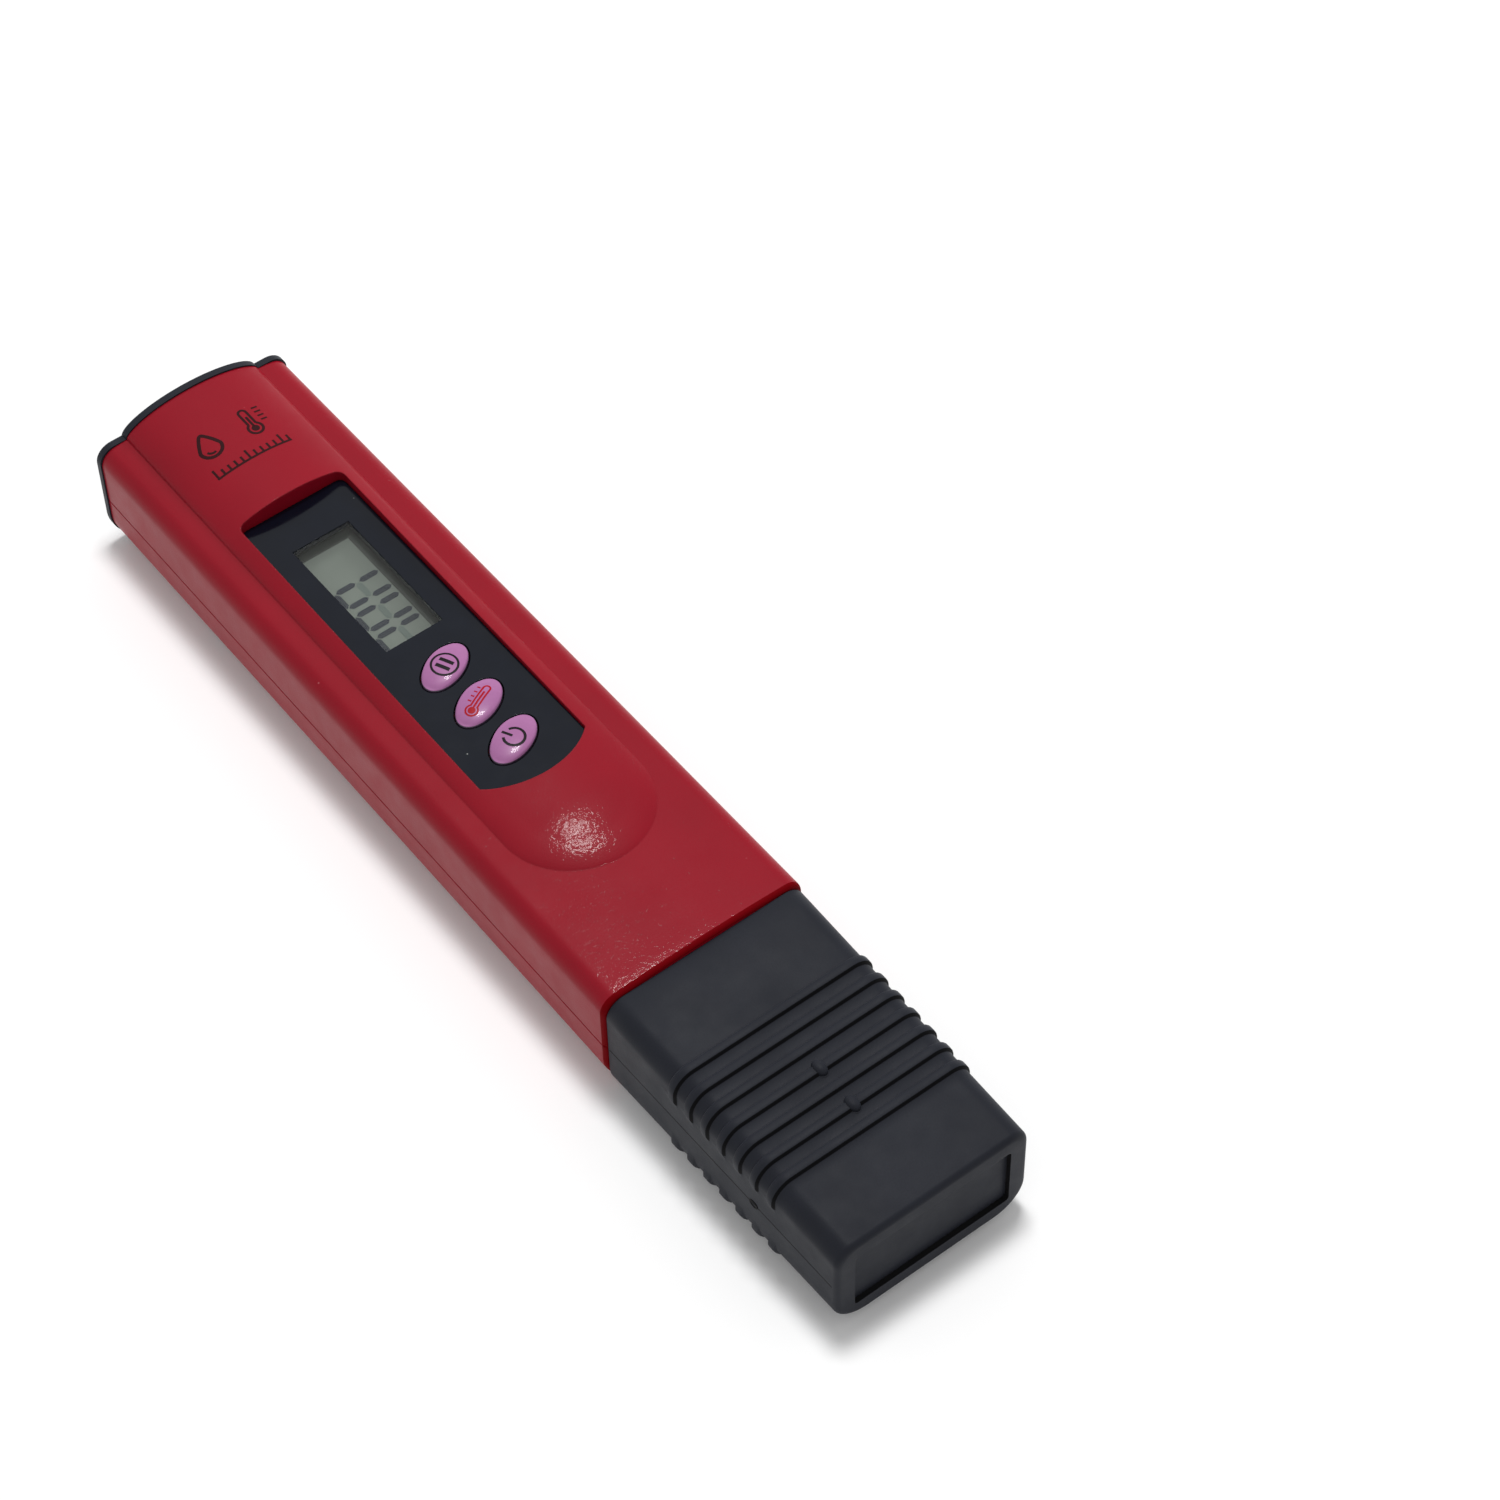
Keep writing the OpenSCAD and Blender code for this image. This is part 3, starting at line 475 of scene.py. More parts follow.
def cut_with(obj, cutters):
    """Subtracts the cutters from obj for good and removes them."""
    for cutter in cutters:
        mod = obj.modifiers.new("cut", "BOOLEAN")
        mod.operation = "DIFFERENCE"
        mod.solver = "EXACT"
        mod.object = cutter
    bpy.context.view_layer.update()
    graph = bpy.context.evaluated_depsgraph_get()
    mesh = bpy.data.meshes.new_from_object(obj.evaluated_get(graph))
    obj.modifiers.clear()
    old = obj.data
    obj.data = mesh
    bpy.data.meshes.remove(old)
    for cutter in cutters:
        data = cutter.data
        bpy.data.objects.remove(cutter)
        bpy.data.meshes.remove(data)
    smooth(obj, EDGE_ANGLE)


def loft(rings, caps=True):
    """Points and faces of a skin through rings of equal length, closed at both ends by caps."""
    n = len(rings[0])
    verts = [p for ring in rings for p in ring]
    faces = []
    for i in range(len(rings) - 1):
        a, b = i * n, (i + 1) * n
        faces += [(a + j, a + (j + 1) % n, b + (j + 1) % n, b + j) for j in range(n)]
    if caps:
        faces.append(tuple(reversed(range(n))))
        faces.append(tuple(range((len(rings) - 1) * n, len(rings) * n)))
    return verts, faces


def tube(rings):
    """A skin through the rings and back to the first, as of a wall with a hole through it."""
    return loft(rings + [rings[0]], caps=False)


def join(parts):
    """Several skins as the points and faces of one mesh."""
    verts, faces = [], []
    for v, f in parts:
        base = len(verts)
        verts += v
        faces += [tuple(base + i for i in face) for face in f]
    return verts, faces


def at_y(points, y):
    return [(x, y, z) for x, z in points]


def at_z(points, z):
    return [(x, y, z) for x, y in points]


def prism_z(outline, z0, z1):
    return loft([at_z(outline, z0), at_z(outline, z1)])


def mirrored(points):
    return [(-x, z) for x, z in reversed(points)]


def share_of(value, start, end):
    """0 below start, 1 above end, and in proportion between them."""
    return min(max((value - start) / (end - start), 0.0), 1.0)


def arc(cx, cy, r, a0, a1, steps):
    """Points of an arc, with both ends. Angles are in degrees."""
    return [(cx + r * math.cos(math.radians(a0 + (a1 - a0) * i / steps)),
             cy + r * math.sin(math.radians(a0 + (a1 - a0) * i / steps))) for i in range(steps + 1)]


def line(a, b, steps):
    """Points between a and b, without either end."""
    return [(a[0] + (b[0] - a[0]) * i / steps, a[1] + (b[1] - a[1]) * i / steps)
            for i in range(1, steps)]


def straight(x0, y0, x1, y1, steps=8):
    """Points of a straight line, with both ends."""
    return [(x0 + (x1 - x0) * i / steps, y0 + (y1 - y0) * i / steps) for i in range(steps + 1)]


def round_box(half, z0, z1, r_top, r_low, steps=10, flat=12):
    """Rounded rectangle in X and Z, counter-clockwise from the middle of its lower side."""
    pts = [(0.0, z0)] + line((0, z0), (half - r_low, z0), flat)
    pts += arc(half - r_low, z0 + r_low, r_low, -90, 0, steps)
    pts += line((half, z0 + r_low), (half, z1 - r_top), flat)
    pts += arc(half - r_top, z1 - r_top, r_top, 0, 90, steps)
    pts += line((half - r_top, z1), (0, z1), flat) + [(0.0, z1)]
    pts += line((0, z1), (r_top - half, z1), flat)
    pts += arc(r_top - half, z1 - r_top, r_top, 90, 180, steps)
    pts += line((-half, z1 - r_top), (-half, z0 + r_low), flat)
    pts += arc(r_low - half, z0 + r_low, r_low, 180, 270, steps)
    pts += line((r_low - half, z0), (0, z0), flat)
    return pts


def round_outline(x, y, r, steps=40):
    return [(x + r * math.cos(2 * math.pi * i / steps), y + r * math.sin(2 * math.pi * i / steps))
            for i in range(steps)]


def turned(points, y=0.0):
    """The points turned as a button is, about the middle of a button at y."""
    c, s = math.cos(BUTTON_TURN), math.sin(BUTTON_TURN)
    return [(px * c - py * s, px * s + py * c + y) for px, py in points]


def oval(a, b):
    """Outline of a button with those half lengths, about its middle."""
    around = [2 * math.pi * i / OVAL_STEPS for i in range(OVAL_STEPS)]
    return turned([(a * math.cos(t), b * math.sin(t)) for t in around])


# -------------------------------------------------------------------- the body
def half_at(y):
    """Half width of the body at y."""
    return HALF_MOUTH + (HALF_BATT - HALF_MOUTH) * (y - Y_MOUTH) / (Y_BATT - Y_MOUTH)


def crown(x):
    """Height of the shoulders' crown at x."""
    return CROWN_H * max(0.0, 1 - (x / CROWN_HALF) ** 2)


def arch_height(y):
    """Height of the arch along its middle."""
    t = share_of(y, Y_NOSE, Y_PANEL + 0.5)
    return NOSE_H + (ARCH_H - NOSE_H) * (t * 0.75 + 0.25 * t * t * (3 - 2 * t))


def arch_half(y):
    """Half width of the arch, which ends in a half circle."""
    if y >= Y_NOSE:
        return NOSE_R
    return math.sqrt(max(NOSE_R ** 2 - (Y_NOSE - y) ** 2, 0.0))


def arch_at(x, y):
    """Height of the arch above the shoulders' plane."""
    run = abs(x) if y >= Y_NOSE else math.hypot(x, Y_NOSE - y)
    share = max(1 - (run / NOSE_R) ** 2, 0.0)
    back = share_of(y, Y_NOSE, Y_BATT)
    return arch_height(y) * share ** (ARCH_POWER - ARCH_POWER_DROP * back)


def top_z(x, y):
    """Height of the body's front."""
    raised = arch_at(x, y)
    return SHOULDER + max(crown(x) * (1 - min(raised / 1.2, 1.0)) + raised, crown(x))


def ridge_places(reach):
    """Places across the arch from left to right, closer to one another at its feet."""
    return [-reach * math.cos(math.pi * i / RIDGE_STEPS) for i in range(RIDGE_STEPS + 1)]


def front_line(y, inset):
    """Front of the body at y, from the seam on the left to the seam on the right."""
    half = half_at(y) - inset
    top = SHOULDER - inset
    left = [(-half + SEAM_CHAMFER, SEAM), (-half, SEAM + SEAM_CHAMFER), (-half, SEAM + SEAM_SIDE)]
    left += line((-half, SEAM + SEAM_SIDE), (-half, top - TOP_R), 5)
    left += arc(TOP_R - half, top - TOP_R, TOP_R, 180, 90, 10)
    reach = arch_half(y)
    left += [(x, top + crown(x)) for x, _ in line((TOP_R - half, 0), (-reach, 0), 9)]
    ridge = [(x, top_z(x, y) - inset) for x in ridge_places(reach)]
    return left + ridge + mirrored(left)


def rear_line(y, inset):
    """Back of the body at y, from the seam on the right to the seam on the left."""
    half = half_at(y) - inset
    low = inset
    right = [(half - SEAM_CHAMFER, SEAM), (half, SEAM - SEAM_CHAMFER), (half, SEAM - SEAM_SIDE)]
    right += line((half, SEAM - SEAM_SIDE), (half, low + BACK_R), 5)
    right += arc(half - BACK_R, low + BACK_R, BACK_R, 0, -90, 16)
    right += line((half - BACK_R, low), (0, low), 8)
    return right + [(0.0, low)] + mirrored(right)


def body_stations():
    """Places along the body, each with how far its outline is drawn in there."""
    out = []
    for i in range(LIP_STEPS + 1):
        t = math.radians(90 * i / LIP_STEPS)
        out.append((Y_MOUTH + LIP_LENGTH * (1 - math.cos(t)), LIP_DEPTH * (1 - math.sin(t))))
    y = Y_MOUTH + LIP_LENGTH
    while y < Y_NOSE - NOSE_R - 1.6:
        y += 1.5
        out.append((y, 0.0))
    out += [(Y_NOSE - NOSE_R * math.cos(math.radians(90 * i / NOSE_STEPS)), 0.0)
            for i in range(NOSE_STEPS + 1)]
    y = Y_NOSE
    while y < Y_BATT - 1.3:
        y += 1.0
        out.append((y, 0.0))
    return out + [(Y_BATT, 0.0)]


def body_half(name, outline, node):
    """One half of the body, with the lip at its mouth in a darker red, as painted shade on its
    rounding.
    """
    stations = body_stations()
    verts, faces = loft([at_y(outline(y, inset), y) for y, inset in stations])
    count = len(verts) // len(stations)
    # The lip's faces take the darker red, as painted shade
    lip = [1 if i < LIP_STEPS * count else 0 for i in range(len(faces))]
    return piece(name, verts, faces, [RED, LIP_SHADE], "pen", "red_shell", [node], lip)


def panel_outline(grow):
    """The panel seen from the front, larger by grow all round."""
    half = PANEL_HALF + grow
    y_low = Y_PANEL - PANEL_LEN - grow
    radius = (half ** 2 + PANEL_SAG ** 2) / (2 * PANEL_SAG)
    reach = math.degrees(math.asin(half / radius))
    pts = arc(0, y_low + radius, radius, -90 - reach, -90 + reach, 28)
    top = Y_PANEL + grow - PANEL_CORNER_R
    side = half - PANEL_CORNER_R
    pts += arc(side, top, PANEL_CORNER_R, 0, 90, 8)
    pts += arc(-side, top, PANEL_CORNER_R, 90, 180, 8)
    return pts


NECK_BORE = round_box(11.45, 3.7, 13.4, 0.8, 0.8)


def hollow_tools(section):
    """Cutters for a half of the body: its hollow, and the bore of the neck at its mouth."""
    return [tool("cut_inside", loft([at_y(section, Y_MOUTH + 1.8), at_y(section, Y_BATT + 1)])),
            tool("cut_neck", loft([at_y(NECK_BORE, Y_MOUTH - 1), at_y(NECK_BORE, Y_MOUTH + 2)]))]


def front_wall_tool(name, outline):
    """Cutter for a hole through the front wall, below the panel."""
    return tool(name, prism_z(outline, 15.0, 18.5))


front = body_half("front_body", front_line, "front_shell")
tools = hollow_tools(round_box(HOLLOW_HALF, 4.0, Z_CEILING, 0.8, 2.0))
tools.append(tool("cut_panel", prism_z(panel_outline(0.1), Z_POCKET, 24.0)))
window_low, window_high = Y_WINDOW - OPENING_HALF_LEN, Y_WINDOW + OPENING_HALF_LEN
tools.append(front_wall_tool("cut_window", [(OPENING_HALF, window_low), (OPENING_HALF, window_high),
                                            (-OPENING_HALF, window_high),
                                            (-OPENING_HALF, window_low)]))
button_hole = oval(BUTTON_A + BUTTON_FIT, BUTTON_B + BUTTON_FIT)
for i, y in enumerate(BUTTONS.values()):
    tools.append(front_wall_tool("cut_button_%d" % i, [(px, py + y) for px, py in button_hole]))
cut_with(front, tools)

rear = body_half("rear_body", rear_line, "rear_shell")
tools = hollow_tools(round_box(HOLLOW_HALF, WALL, 13.0, 0.8, BACK_R - WALL))
tools.append(tool("cut_trimmer", prism_z(round_outline(*TRIMMER, TRIMMER_R), -1.0, 4.0)))
for i, (x, y) in enumerate(SCREWS):
    tools.append(tool("cut_screw_%d" % i, prism_z(round_outline(x, y, HEAD_R), -1.0, HEAD_SEAT)))
cut_with(rear, tools)


def round_tube(name, x, y, profile):
    """A tube moulded to the back, from the radii and heights of its section."""
    rings = [at_z(round_outline(x, y, r), z) for r, z in profile]
    piece(name, *tube(rings), [RED], "pen", "red_shell")


# Foot round each screw's head, and the tube that leads to the trimmer
for i, (x, y) in enumerate(SCREWS):
    round_tube("screw_foot_%d" % (i + 1), x, y,
               [(FOOT_R, IN_WALL), (FOOT_R, FOOT_TOP), (SCREW_R, FOOT_TOP), (SCREW_R, HEAD_SEAT),
                (HEAD_R, HEAD_SEAT), (HEAD_R, IN_WALL)])
round_tube("trimmer_tube", *TRIMMER,
           [(TUBE_R, IN_WALL), (TUBE_R, TUBE_TOP), (TRIMMER_R, TUBE_TOP), (TRIMMER_R, IN_WALL)])


def neck_ring(y, shrink):
    """Outline of the neck, with a fine groove where its halves meet."""
    pts = round_box(NECK_HALF - shrink, NECK_LOW + shrink, NECK_HIGH - shrink, NECK_R, NECK_R)
    return at_y([(x - math.copysign(0.08, x) if abs(z - SEAM) < 0.3 else x, z) for x, z in pts], y)


rings = [neck_ring(Y_MOUTH + 1.0, 0.0), neck_ring(Y_NECK + 0.4, 0.0), neck_ring(Y_NECK + 0.15, 0.08),
         neck_ring(Y_NECK, 0.3), at_y(NECK_BORE, Y_NECK), at_y(NECK_BORE, Y_MOUTH + 1.0)]
piece("neck", *tube(rings), [RED], "pen", "red_shell")


# --------------------------------------------------------------- protective cap
# A rib's section: offset along the pen, and height as a share. Its low side is a step, which on the
# cap's top is painted near black as shade.
STEP_TOP = 0.85
STEP_FOOT = 0.12
RIB_SECTION = [(0.85, 0.0), (0.66, 0.8), (0.5, 1.0), (0.0, 1.04), (-0.4, 1.0), (-0.52, STEP_TOP),
               (-0.7, STEP_FOOT), (-0.78, 0.0)]


def cap_limits(y):
    """Half width, lowest and highest z of the cap at y."""
    t = (y - Y_TIP) / (Y_MOUTH - Y_TIP)
    return [tip + gain * t for tip, gain in zip(CAP_AT_TIP, CAP_GAIN)]


def rib_share(z):
    """How much of a rib is left at that height: all on the broad sides, none on the side walls."""
    return min(max((z - RIB_ABOVE) / RIB_FADE, (RIB_BELOW - z) / RIB_FADE, 0.0), 1.0)


def cap_ring(y, inset, rib):
    """Outline of the cap at y, raised along its normals where a rib is. It stays above z = 0."""
    half, low, high = cap_limits(y)
    low += inset
    pts = round_box(half - inset, low, high - inset, CAP_TOP_R, CAP_LOW_R, *CORNER_STEPS)
    out = []
    for i, (x, z) in enumerate(pts):
        ax, az = pts[i - 1]
        bx, bz = pts[(i + 1) % len(pts)]
        nx, nz = bz - az, ax - bx
        size = math.hypot(nx, nz) or 1.0
        lift = RIB_H * rib * rib_share(z)
        if nz < -0.3 * size:
            lift = min(lift, low)
        out.append((x + nx / size * lift, y, z + nz / size * lift))
    return out


def cap_stations():
    """Places along the cap, from its mouth to its tip, each with its inset and its rib's height."""
    out = [(Y_MOUTH, 0.22, 0.0), (Y_MOUTH - 0.08, 0.07, 0.0), (Y_MOUTH - 0.25, 0.0, 0.0)]
    edge = Y_MOUTH - 4.0
    while edge > RIBS[0] + 1.2:
        out.append((edge, 0.0, 0.0))
        edge -= 2.0
    for y in RIBS:
        out += [(y + offset, 0.0, height) for offset, height in RIB_SECTION]
    edge = RIBS[-1] - 2.2
    while edge > Y_TIP + 2:
        out.append((edge, 0.0, 0.0))
        edge -= 2.0
    for i in range(8):
        t = math.radians(90 * i / 7)
        out.append((Y_TIP + CAP_TIP_R * (1 - math.sin(t)), CAP_TIP_R * (1 - math.cos(t)), 0.0))
    return out


def cap_body():
    """The cap with its bore, its ribs and the shallow recess in its end."""
    low, high = cap_limits(Y_TIP)[1:]
    z_mid = (low + high) / 2
    recess = round_box(11.5, z_mid - 5.0, z_mid + 5.0, 0.5, 0.5, *CORNER_STEPS)
    bore = round_box(13.0, 2.15, 14.95, CAP_BORE_R, CAP_BORE_R, *CORNER_STEPS)
    mouth = round_box(13.3, 1.85, 15.25, CAP_BORE_R, CAP_BORE_R, *CORNER_STEPS)
    inner = [at_y(bore, Y_TIP + CAP_END_WALL), at_y(bore, Y_MOUTH - 0.3), at_y(mouth, Y_MOUTH)]
    stations = cap_stations()
    outer = [cap_ring(*station) for station in stations]
    rings = inner + outer + [at_y(recess, Y_TIP), at_y(recess, Y_TIP + 0.7)]
    verts, faces = loft(rings)
    count = len(recess)
    face_mat = [0] * len(faces)
    # Steep faces of each rib's low side, on the top of the cap, take the near-black finish as painted
    # shade
    for k, (_, _, lift) in enumerate(stations):
        if lift in (STEP_TOP, STEP_FOOT):
            for i in range(count):
                if outer[k][i][2] > SHADED_STEP_ABOVE:
                    face_mat[(len(inner) + k - 1) * count + i] = 2
    # Walls of the end recess, all but the top one, take the near-black finish: painted shade in the
    # recess
    for i in range(count):
        if recess[i][1] < z_mid + 4.8:
            face_mat[(len(rings) - 2) * count + i] = 1
    piece("cap_body", verts, faces, [CAP, CAP_LINE_AND_RECESS_SHADE, CAP_STEP_SHADE], "probe_cap", "cap", ["probe_cap"],
          face_mat)


def pip(name, y):
    """A low oval pip on the front of the cap, with a small fillet at its foot."""
    around = [2 * math.pi * i / PIP_STEPS for i in range(PIP_STEPS)]
    rings = []
    for share, up in ((1.12, -0.4), (1.12, 0.0), (1.0, 0.04), (0.96, 0.3), (0.88, 0.55),
                      (0.72, 0.78), (0.5, 0.92), (0.25, 0.98), (0.06, 1.0)):
        z = cap_limits(y)[2] + PIP_H * up
        rings.append([(PIP_A * share * math.cos(t), y + PIP_B * share * math.sin(t), z)
                      for t in around])
    piece(name, *loft(rings), [CAP], "probe_cap", "cap", angle=MARK_ANGLE)


def gate_mark():
    """Mark of the mould's gate on the side of the cap: a low rim round a shallow pit."""
    side = cap_limits(Y_GATE)[0]
    rings = []
    for share, out in ((1.0, -0.2), (1.0, 0.06), (0.7, 0.1), (0.45, -0.05), (0.1, -0.1)):
        around = [2 * math.pi * i / GATE_STEPS for i in range(GATE_STEPS)]
        rings.append([(-side - out, Y_GATE + 0.8 * share * math.cos(t),
                       Z_GATE + 0.6 * share * math.sin(t)) for t in around])
    piece("cap_gate_mark", *loft(rings), [CAP_LINE_AND_RECESS_SHADE], "probe_cap", "cap", angle=MARK_ANGLE)


def mould_line(name, side):
    """Mould line along a side of the cap, from just below its mouth to the rounding of its tip."""
    low, high = Z_MOULD_LINE
    start, end = Y_MOUTH - 0.4, Y_TIP + 0.9
    rings = []
    for i in range(24):
        y = start + (end - start) * i / 23
        skin = side * (cap_limits(y)[0] + MARK_LIFT)
        deep = side * (cap_limits(y)[0] - 0.2)
        rings.append([(skin, y, low), (skin, y, high), (deep, y, high), (deep, y, low)])
    piece(name, *loft(rings), [CAP_LINE_AND_RECESS_SHADE], "probe_cap", "cap")


cap_body()
pip("cap_pip_upper", RIBS[3] + 0.1)
pip("cap_pip_lower", RIBS[5] + 0.1)
gate_mark()
mould_line("cap_line_left", -1)
mould_line("cap_line_right", 1)


# ------------------------------------------------------------------ battery cap
def end_ring(y, inset):
    """Outline of the battery cap, a little proud of the body, with the arch on top."""
    half = HALF_BATT + 0.2 - inset
    top = SHOULDER + 0.2 - inset
    low = inset * 0.8
    z_side = 8.0
    left = [(-half, z_side)] + line((-half, z_side), (-half, top - TOP_R), 6)
    left += arc(TOP_R - half, top - TOP_R, TOP_R, 180, 90, 10)
    reach = NOSE_R + 0.05
    left += line((TOP_R - half, top), (-reach, top), 4)
    power = ARCH_POWER - ARCH_POWER_DROP
    ridge = [(x, top + ARCH_H * max(1 - (x / reach) ** 2, 0.0) ** power)
             for x in ridge_places(reach)]
    right = line((half, z_side), (half, low + BACK_R), 4)
    right += arc(half - BACK_R, low + BACK_R, BACK_R, 0, -90, 14)
    right += line((half - BACK_R, low), (0, low), 8)
    return at_y(left + ridge + mirrored(left) + right + [(0.0, low)] + mirrored(right), y)


def battery_cap():
    """The end plate with its rounded rim, and the skirt that reaches into the body."""
    rim = 0.35
    rings = [end_ring(Y_BATT + 0.02, 0.0)]
    for i in range(6):
        t = math.radians(90 * i / 5)
        rings.append(end_ring(Y_END - rim + rim * math.sin(t), rim * (1 - math.cos(t))))
    piece("battery_cap_plate", *loft(rings), [CAP], "battery_cap", "end_cap", ["battery_cap"])
    skirt = round_box(12.7, 1.7, 16.1, 0.8, 4.3)
    skirt_tip = round_box(12.55, 1.85, 15.95, 0.8, 4.3)
    skirt_in = round_box(11.6, 2.8, 15.0, 0.6, 3.2)
    rings = [at_y(skirt, Y_BATT + 0.3), at_y(skirt, Y_BATT - 4.3), at_y(skirt_tip, Y_BATT - 4.5),
             at_y(skirt_in, Y_BATT - 4.5), at_y(skirt_in, Y_BATT + 0.3)]
    piece("battery_cap_skirt", *tube(rings), [CAP], "battery_cap", "end_cap")


battery_cap()


# --------------------------------------------------------------------- buttons
def dome_z(x, y):
    """Height of a button's domed top, from its middle."""
    return DOME_TOP - (x * x + y * y) / (2 * DOME_R)


def button(name, y):
    """A button's top on its flange, the side in its own finish, and the stem below."""
    side = [(1.12, 15.4), (1.12, 16.1), (1.0, 16.1), (1.0, 18.2), (0.995, 18.32), (0.975, 18.42)]
    rings = [[(px, py + y, z) for px, py in oval(BUTTON_A * share, BUTTON_B * share)]
             for share, z in side]
    for share in (0.94, 0.88, 0.8, 0.68, 0.54, 0.4, 0.26, 0.12, 0.03):
        drop = 0.1 * min(max((share - 0.7) / 0.25, 0.0), 1.0) ** 2
        rings.append([(px, py + y, dome_z(px, py) - drop)
                      for px, py in oval(BUTTON_A * share, BUTTON_B * share)])
    verts, faces = loft(rings)
    side_faces = (len(side) - 1) * OVAL_STEPS
    face_mat = [1 if i < side_faces else 0 for i in range(len(faces))]
    face_mat[-2] = 1
    piece(name + "_cap", verts, faces, [BUTTON, BUTTON_EDGE], name, "button", [name], face_mat,
          angle=BUTTON_ANGLE)
    stem = [at_z(round_outline(0.0, y, r, 32), z) for r, z in ((1.3, 13.8), (1.5, 14.0), (1.5, 15.5))]
    piece(name + "_stem", *loft(stem), [BUTTON], name, "button")


for name, y in BUTTONS.items():
    button(name, y)


# ------------------------------------------------------------- printed pictures
def stroke(path, width, height):
    """A printed line of that width along path, lying on the surface z = height(x, y)."""
    rings = []
    last = len(path) - 1
    for i, (x, y) in enumerate(path):
        ax, ay = path[max(i - 1, 0)]
        bx, by = path[min(i + 1, last)]
        dx, dy = bx - ax, by - ay
        size = math.hypot(dx, dy) or 1.0
        nx, ny = -dy / size * width / 2, dx / size * width / 2
        corners = ((nx, ny, MARK_LIFT), (0, 0, MARK_LIFT), (-nx, -ny, MARK_LIFT), (-nx, -ny, -INK_SINK),
                   (nx, ny, -INK_SINK))
        rings.append([(x + sx, y + sy, height(x + sx, y + sy) + up) for sx, sy, up in corners])
    return loft(rings)


def blot(x, y, r, height):
    """A printed round spot on the surface z = height(x, y)."""
    rings = []
    for share, up in ((1.0, -INK_SINK), (1.0, MARK_LIFT), (0.6, MARK_LIFT), (0.2, MARK_LIFT),
                      (0.02, MARK_LIFT)):
        rings.append([(px, py, height(px, py) + up)
                      for px, py in round_outline(x, y, r * share, 28)])
    return loft(rings)


def label(name, body, mat, paths, blots=()):
    """A picture on a button: paths are lines with their widths, blots are spots with their radii."""
    y = BUTTONS[body]
    parts = [stroke(turned(path, y), width, lambda px, py: dome_z(px, py - y))
             for path, width in paths]
    for bx, by, r in blots:
        (cx, cy), = turned([(bx, by)], y)
        parts.append(blot(cx, cy, r, lambda px, py: dome_z(px, py - y)))
    piece(name, *join(parts), [mat], body, "button", angle=MARK_ANGLE)


# Two bars in a ring, a lying thermometer with four marks, and a power sign
label("hold_label", "hold_button", BLACK_INK,
      [(straight(-0.52, -1.0, -0.52, 1.0), 0.52), (straight(0.52, -1.0, 0.52, 1.0), 0.52),
       (arc(0, 0, 1.72, 0, 360, 48), 0.3)])
label("temperature_label", "temperature_button", RED_INK,
      [(straight(-1.25, 0.45, 2.1, 0.45) + arc(2.1, 0, 0.45, 90, -90, 10)
        + straight(2.1, -0.45, -1.25, -0.45), 0.24),
       (arc(-1.8, 0, 0.78, 35, 325, 28), 0.24), (straight(-1.5, 0, 1.5, 0), 0.26)]
      + [(straight(x, 0.72, x, 1.2), 0.2) for x in (-0.6, 0.2, 1.0, 1.8)],
      [(-1.8, 0, 0.5)])
label("power_label", "power_button", BLACK_INK,
      [(arc(0, -0.15, 1.35, 122, 418, 44), 0.36), (straight(0, 0.1, 0, 1.6), 0.36)])


def drop_picture(x, y):
    """A drop of water with a glint in it, its round part about (x, y)."""
    radius = 1.55
    outline = []
    for px, py in arc(0, 0, radius, -90, 270, 40):
        if py > 0:
            px *= 1 - (py / radius) * 0.55
            py *= 1.7
        outline.append((x + px, y + py))
    return [stroke(outline, 0.5, top_z), stroke(arc(x, y - 0.1, 0.8, 200, 290, 14), 0.34, top_z)]


def thermometer_picture(x, y):
    """An upright thermometer with its bulb about (x, y) and four marks on its right."""
    half, foot, head = 0.55, y + 0.8, y + 3.2
    glass = straight(x - half, foot, x - half, head) + arc(x, head, half, 180, 0, 10)
    glass += straight(x + half, head, x + half, foot)
    parts = [stroke(glass, 0.36, top_z), stroke(arc(x, y, 1.0, 124, 416, 28), 0.38, top_z),
             blot(x, y, half, top_z), stroke(straight(x, y + 0.2, x, y + 2.4), 0.36, top_z)]
    for i in range(4):
        mark_y = y + 1.0 + 0.8 * i
        parts.append(stroke(straight(x + 1.45, mark_y, x + 2.35, mark_y, 3), 0.28, top_z))
    return parts


def scale_picture(y):
    """A plain scale across the arch: twelve marks, every fifth longer, above a base line."""
    parts = []
    for i in range(12):
        end = y + 1.1 + (0.6 if i % 5 == 0 else 0)
        parts.append(stroke(straight(i - 5.5, y + 0.1, i - 5.5, end, 3), 0.32, top_z))
    return parts + [stroke(straight(-5.7, y, 5.7, y, 30), 0.34, top_z)]


print_parts = drop_picture(-3.6, 65.9) + thermometer_picture(2.95, 65.2) + scale_picture(61.0)
piece("body_print", *join(print_parts), [SHELL_INK], "pen", "red_shell", angle=MARK_ANGLE)


# --------------------------------------------------------------------- display
def segment(x0, x1, y):
    """Outline of a display segment along X with pointed ends."""
    half, tip = 0.43, 0.45
    return [(x0, y), (x0 + tip, y - half), (x1 - tip, y - half), (x1, y), (x1 - tip, y + half),
            (x0 + tip, y + half)]


def cross_segment(x, y0, y1, half, tip):
    """Outline of a display segment along Y with pointed ends."""
    return [(x, y0), (x + half, y0 + tip), (x + half, y1 - tip), (x, y1), (x - half, y1 - tip),
            (x - half, y0 + tip)]


def segments(name, mat, outlines):
    """Segments as thin closed plates that lie on the display's film."""
    plates = [prism_z(outline, Z_CEILING - 0.02, Z_CEILING + 0.03) for outline in outlines]
    piece(name, *join(plates), [mat], "pen", "polariser")


